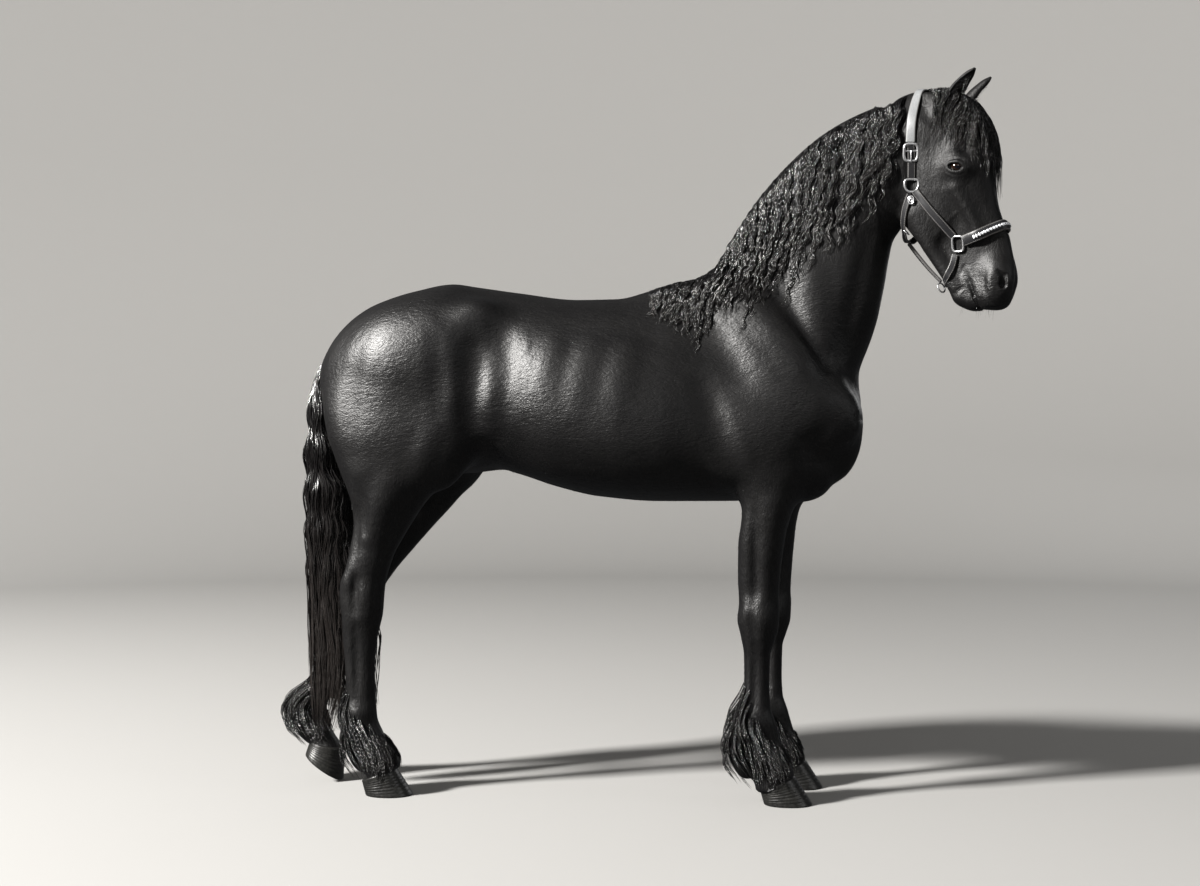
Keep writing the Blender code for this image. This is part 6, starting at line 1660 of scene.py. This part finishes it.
class Paint:
    """A material built up from named nodes."""

    def __init__(self, name, roughness, metallic=0.0, colour=(0.5, 0.5, 0.5), **more):
        self.material = bpy.data.materials.new(name)
        self.material.use_nodes = True
        self.nodes, self.links = self.material.node_tree.nodes, self.material.node_tree.links
        self.shader = self.nodes["Principled BSDF"]
        self.shader.inputs["Base Color"].default_value = (*colour, 1.0)
        self.shader.inputs["Roughness"].default_value = roughness
        self.shader.inputs["Metallic"].default_value = metallic
        for key, value in more.items():
            self.shader.inputs[key.replace("_", " ")].default_value = value

    def node(self, kind, **values):
        made = self.nodes.new("ShaderNode" + kind)
        for key, value in values.items():
            if key in made.inputs:
                made.inputs[key].default_value = value
            else:
                setattr(made, key, value)
        return made

    def link(self, start, end):
        self.links.new(start, end)

    def put(self, socket, source):
        self.link(source, self.shader.inputs[socket])

    def place(self, scale=(1, 1, 1), turn=(0, 0, 0), source=None):
        """Coordinates of the piece, or those of the source, scaled and turned."""
        mapping = self.node("Mapping", Scale=scale, Rotation=turn)
        self.link(source or self.node("TexCoord").outputs["Object"], mapping.inputs["Vector"])
        return mapping.outputs["Vector"]

    def parts(self, source):
        """The X, Y and Z of a vector."""
        split = self.node("SeparateXYZ")
        self.link(source, split.inputs["Vector"])
        return [split.outputs[axis] for axis in "XYZ"]

    def share(self, value, start, end):
        """How far the value has gone from start to end, 0 to 1."""
        made = self.node("MapRange", **{"From Min": start, "From Max": end})
        self.link(value, made.inputs["Value"])
        return made.outputs["Result"]

    def noise(self, scale, detail=4.0, rough=0.5, place=None):
        made = self.node("TexNoise", Scale=scale, Detail=detail, Roughness=rough)
        if place is not None:
            self.link(place, made.inputs["Vector"])
        return made.outputs["Fac"]

    def ramp(self, source, *stops):
        """Colours or greys along a value, as (place, colour) stops."""
        made = self.node("ValToRGB")
        elements = made.color_ramp.elements
        for index, (place, colour) in enumerate(stops):
            element = elements[index] if index < 2 else elements.new(place)
            element.position = place
            element.color = (*colour, 1.0) if isinstance(colour, tuple) else (colour, colour, colour, 1.0)
        self.link(source, made.inputs["Fac"])
        return made.outputs["Color"]

    def math(self, kind, first, second):
        made = self.node("Math", operation=kind)
        for socket, value in zip(made.inputs, (first, second)):
            if isinstance(value, (int, float)):
                socket.default_value = value
            else:
                self.link(value, socket)
        return made.outputs["Value"]

    def mix(self, share, first, second):
        made = self.node("Mix", data_type="RGBA")
        for socket, value in zip((made.inputs[0], made.inputs[6], made.inputs[7]), (share, first, second)):
            if isinstance(value, (int, float, tuple)):
                socket.default_value = value
            else:
                self.link(value, socket)
        return made.outputs[2]

    def bump(self, height, strength, distance):
        made = self.node("Bump", Strength=strength, Distance=distance)
        self.link(height, made.inputs["Height"])
        last = self.shader.inputs["Normal"]
        if last.is_linked:
            self.link(last.links[0].from_socket, made.inputs["Normal"])
        self.link(made.outputs["Normal"], last)


def coat_material():
    """Short glossy black fur that lies along the body and down the legs."""
    paint = Paint("short_fur", 0.45)
    bend = paint.node("TexNoise", Scale=3.0, Detail=3.0)
    paint.link(paint.place(), bend.inputs["Vector"])
    wander = paint.node("VectorMath", operation="MULTIPLY_ADD")
    wander.inputs[1].default_value = (0.06, 0.06, 0.06)
    paint.link(bend.outputs["Color"], wander.inputs[0])
    paint.link(paint.place(), wander.inputs[2])

    along_body = paint.place((0.42, 1.0, 1.0), (0, math.radians(24), 0), wander.outputs["Vector"])
    down_legs = paint.place((1.0, 1.0, 0.42), source=wander.outputs["Vector"])
    height = paint.parts(paint.place())[2]
    low, high = paint.share(height, 1.12, 0.92), paint.share(height, 1.60, 1.72)
    upright_share = paint.math("MAXIMUM", low, high)
    hairs = paint.mix(upright_share, paint.noise(260.0, 3.0, 0.6, along_body),
                      paint.noise(260.0, 3.0, 0.6, down_legs))
    tufts = paint.mix(upright_share, paint.noise(95.0, 3.0, 0.6, along_body),
                      paint.noise(95.0, 3.0, 0.6, down_legs))
    skin = paint.noise(30.0, 3.0, 0.5)
    flesh = paint.noise(10.0, 3.0, 0.5)
    clouds = paint.noise(6.0, 4.0, 0.6)
    calm = paint.math("SUBTRACT", 1.0, paint.math("MULTIPLY", high, 0.75))
    paint.bump(paint.math("MULTIPLY", flesh, calm), 0.24, 0.014)
    paint.bump(paint.math("MULTIPLY", skin, calm), 0.22, 0.006)
    paint.bump(tufts, 0.55, 0.0034)
    paint.bump(hairs, 0.65, 0.0020)
    colour = paint.ramp(clouds, (0.30, (0.0022, 0.0021, 0.0023)), (0.75, (0.0046, 0.0043, 0.0042)))
    fine = paint.ramp(hairs, (0.35, (0.0010, 0.0010, 0.0012)), (0.70, (0.0085, 0.0080, 0.0078)))
    paint.put("Base Color", paint.mix(0.4, colour, fine))
    dull = paint.math("MULTIPLY", high, 0.08)
    paint.put("Roughness", paint.math("ADD", paint.ramp(clouds, (0.25, 0.36), (0.80, 0.45)), dull))
    paint.put("Specular IOR Level", paint.ramp(high, (0.0, 0.35), (1.0, 0.22)))
    return paint.material


def hair_material(name, pale, tip, dullness, crimps):
    """Long hair, each strand its own shade up to pale, duller at the tip and crimped so often along it."""
    paint = Paint(name, 0.24, Specular_IOR_Level=0.72)
    tone, along, _ = paint.parts(paint.node("Attribute", attribute_name="strand").outputs["Vector"])
    own = paint.ramp(tone, (0.0, (0.0022, 0.0020, 0.0022)), (1.0, pale))
    near_tip = paint.math("POWER", along, 2.2)
    paint.put("Base Color", paint.mix(near_tip, own, tip))
    dull = paint.math("MULTIPLY", near_tip, dullness)
    paint.put("Roughness", paint.math("ADD", paint.ramp(tone, (0.0, 0.16), (1.0, 0.28)), dull))
    lines = paint.noise(900.0, 2.0, 0.6, paint.place((1.0, 1.0, 0.10)))
    paint.bump(lines, 0.22, 0.0008)
    turn = paint.math("ADD", paint.math("MULTIPLY", along, math.tau * crimps),
                      paint.math("MULTIPLY", tone, 37.0))
    paint.bump(paint.math("SINE", turn, 0.0), 0.8, 0.0020)
    return paint.material


def horn_material():
    """Dull dark grey horn with growth rings and fine upright grain."""
    paint = Paint("hoof_horn", 0.50)
    grain = paint.noise(500.0, 3.0, 0.6, paint.place((1.0, 1.0, 0.10)))
    bands = paint.noise(60.0, 2.0, 0.5, paint.place((0.25, 0.25, 1.0), (0, math.radians(-20), 0)))
    cloud = paint.noise(18.0, 4.0, 0.6)
    colour = paint.mix(0.5, paint.ramp(bands, (0.35, (0.004, 0.004, 0.004)), (0.70, (0.012, 0.012, 0.011))),
                       paint.ramp(cloud, (0.30, (0.005, 0.005, 0.005)), (0.75, (0.022, 0.021, 0.018))))
    paint.put("Base Color", colour)
    paint.put("Roughness", paint.ramp(cloud, (0.3, 0.26), (0.8, 0.46)))
    paint.bump(grain, 0.25, 0.0012)
    paint.bump(bands, 0.30, 0.003)
    return paint.material


def eye_material():
    """A wet dark eye: brown iris, level oval pupil and a thin pale rim of the white."""
    paint = Paint("eye_wet", 0.08, Specular_IOR_Level=0.5, Coat_Weight=0.4, Coat_Roughness=0.04)
    back, across, up = paint.parts(paint.place((1 / EYE_RADIUS,) * 3))
    level = paint.math("POWER", across, 2.0)
    tall = paint.math("POWER", paint.math("MULTIPLY", up, 1.7), 2.0)
    pupil = paint.math("POWER", paint.math("ADD", level, tall), 0.5)
    iris = paint.ramp(pupil, (0.38, (0.002, 0.002, 0.003)), (0.46, (0.010, 0.005, 0.003)),
                      (0.85, (0.006, 0.003, 0.002)))
    white = paint.ramp(back, (0.02, (0.030, 0.021, 0.016)), (0.20, (0.006, 0.004, 0.003)))
    shown = paint.ramp(back, (0.18, 0.0), (0.26, 1.0))
    paint.put("Base Color", paint.mix(shown, white, iris))
    return paint.material


def leather_material(name, deep, pale):
    """Smooth leather with a fine grain, two rows of stitches and worn edges."""
    paint = Paint(name, 0.36, Specular_IOR_Level=0.36)
    along, across, half = paint.parts(paint.node("Attribute", attribute_name="lay").outputs["Vector"])
    off_edge = paint.math("SUBTRACT", half, paint.math("ABSOLUTE", across, 0.0))
    off_row = paint.math("ABSOLUTE", paint.math("SUBTRACT", off_edge, 0.0028), 0.0)
    row = paint.math("LESS_THAN", off_row, 0.0006)
    dash = paint.math("LESS_THAN", paint.math("FRACT", paint.math("DIVIDE", along, 0.0058), 0.0), 0.68)
    stitch = paint.math("MULTIPLY", row, dash)
    grain = paint.node("TexVoronoi", Scale=900.0)
    paint.link(paint.place(), grain.inputs["Vector"])
    cloud = paint.noise(60.0, 4.0, 0.6)
    worn = paint.ramp(off_edge, (0.0005, 0.35), (0.0030, 0.0))
    colour = paint.mix(worn, paint.ramp(cloud, (0.3, deep), (0.7, pale)), (0.075, 0.070, 0.066, 1.0))
    paint.put("Base Color", paint.mix(stitch, colour, (0.16, 0.155, 0.15, 1.0)))
    paint.put("Roughness", paint.ramp(cloud, (0.3, 0.30), (0.75, 0.46)))
    paint.bump(grain.outputs["Distance"], 0.25, 0.0006)
    paint.bump(stitch, 0.6, 0.0008)
    return paint.material


def metal_material():
    """Polished nickel with light wear."""
    paint = Paint("nickel", 0.26, 0.9, (0.70, 0.70, 0.71))
    cloud = paint.noise(140.0, 4.0, 0.65)
    paint.put("Base Color", paint.ramp(cloud, (0.35, (0.58, 0.58, 0.59)), (0.65, (0.80, 0.80, 0.81))))
    paint.put("Roughness", paint.ramp(cloud, (0.3, 0.20), (0.8, 0.38)))
    paint.bump(paint.noise(600.0, 2.0), 0.08, 0.0005)
    return paint.material


def stone_material():
    """Clear cut stones over a silvery back."""
    paint = Paint("clear_stone", 0.10, 0.30, (0.80, 0.82, 0.86), Coat_Weight=1.0, Coat_Roughness=0.02)
    cloud = paint.noise(260.0, 2.0)
    paint.put("Base Color", paint.ramp(cloud, (0.3, (0.60, 0.62, 0.68)), (0.7, (0.92, 0.94, 0.96))))
    return paint.material


# Floor, light and camera

CAMERA = (0.427, -5.574, 1.114)
CAMERA_TURN = 5.5               # degrees, how far the view turns from +Y towards -X
LENS = 52.5

FLOOR_REACH = 9.0               # how far round the model the floor is level
FLOOR_BEND = 4.0
WALL_TOP = 18.0


def studio(sides=96, steps=14):
    """A plain pale floor that bends up into a round wall and doesn't mirror in the coat."""
    paint = Paint("pale_floor", 0.75, 0.0, (0.25, 0.247, 0.241))
    profile = [(0.5, 0.0), (FLOOR_REACH / 2, 0.0)]
    for step in range(steps + 1):
        turn = math.pi / 2 * step / steps
        profile.append((FLOOR_REACH + FLOOR_BEND * math.sin(turn), FLOOR_BEND * (1 - math.cos(turn))))
    profile.append((FLOOR_REACH + FLOOR_BEND, WALL_TOP))
    points, faces = [(0.0, 0.0, 0.0)], []
    for row, (reach, height) in enumerate(profile):
        for side in range(sides):
            turn = math.tau * side / sides
            points.append((reach * math.cos(turn), reach * math.sin(turn), height))
            here, beside = 1 + row * sides + side, 1 + row * sides + (side + 1) % sides
            faces.append((0, here, beside) if row == 0 else (here - sides, here, beside, beside - sides))
    mesh = bpy.data.meshes.new("studio_floor")
    mesh.from_pydata(points, [], faces)
    mesh.shade_smooth()
    mesh.materials.append(paint.material)
    obj = linked("studio_floor", mesh)
    obj.visible_glossy = False


def area_light(name, spot, target, size, power, tint=(1.0, 1.0, 1.0)):
    light = bpy.data.lights.new(name, "AREA")
    light.shape, light.size, light.size_y = "RECTANGLE", size[0], size[1]
    light.energy, light.color = power, tint
    obj = linked(name, light)
    obj.location = spot
    obj.rotation_euler = (Vector(target) - Vector(spot)).to_track_quat("-Z", "Y").to_euler()


def lights():
    bpy.context.scene.view_settings.view_transform = "Standard"
    world = bpy.data.worlds.new("studio")
    world.use_nodes = True
    sky = world.node_tree.nodes["Background"].inputs
    sky["Color"].default_value, sky["Strength"].default_value = (0.90, 0.92, 0.95, 1.0), 0.06
    bpy.context.scene.world = world
    area_light("key", (-10.0, -6.2, 8.4), (0.0, 0.0, 1.2), (1.6, 1.6), 9000, (1.0, 0.98, 0.95))
    area_light("front", (2.6, -9.5, 6.5), (0.3, 0.0, 1.2), (3.0, 3.0), 60)
    area_light("ahead", (9.5, -2.5, 4.5), (0.5, 0.0, 1.3), (4.0, 3.0), 90)
    area_light("left", (4.5, 10.0, 3.5), (0.0, 0.0, 1.2), (4.0, 3.0), 50)


def camera():
    lens = bpy.data.cameras.new("camera")
    lens.lens, lens.sensor_width = LENS, 36.0
    obj = linked("camera", lens)
    obj.location = CAMERA
    turn = math.radians(CAMERA_TURN)
    look = Vector((-math.sin(turn), math.cos(turn), 0.0))
    obj.rotation_euler = look.to_track_quat("-Z", "Y").to_euler()
    bpy.context.scene.camera = obj


def main():
    dice = np.random.default_rng(11)
    body, head = with_lines(prepared(body_forms()), prepared(head_forms()))
    forms = body + head
    coat = coat_material()
    hair = hair_material("mane_hair", (0.0070, 0.0066, 0.0068), (0.0065, 0.0058, 0.0055, 1.0), 0.05, 14)
    tail_hair = hair_material("tail_hair", (0.0060, 0.0055, 0.0055), (0.0150, 0.0115, 0.0098, 1.0), 0.20, 9)
    horn, wet = horn_material(), eye_material()
    skin = skin_object(body, head)
    normals = np.empty(len(skin.data.vertices) * 3, np.float32)
    skin.data.vertex_normals.foreach_get("vector", normals)
    short_tufts(points_of(skin.data), normals.reshape(-1, 3).astype(float), hair, dice)
    whiskers(forms, hair, dice)
    set_piece(skin, coat, "coat", "torso", "neck", "head", "foreleg_right", "foreleg_left", "hindleg_right",
              "hindleg_left")
    for side, word in SIDES:
        set_piece(ear_object("ear_skin_" + word, side), coat, "coat", "ear_" + word)
        ear_hair("ear_hair_" + word, side, hair, dice)
        claimed(eye_object("eyeball_" + word, side), wet, "eye", "eye_" + word)
    for leg in HOOVES:
        set_piece(hoof_object(leg), horn, "horn", hoof_node(leg))
        feathers(leg, forms, hair, dice)
    mane(forms, hair, dice)
    forelock(forms, hair, dice)
    tail(tail_hair, dice)
    headcollar(forms, leather_material("black_leather", (0.006, 0.006, 0.007), (0.016, 0.016, 0.017)),
               # The second leather is the black leather with a painted highlight in its colour, for the crown
               # strap.
               leather_material("painted_highlight_leather", (0.110, 0.114, 0.118), (0.190, 0.196, 0.200)),
               metal_material(), stone_material())
    studio()
    lights()
    camera()


main()
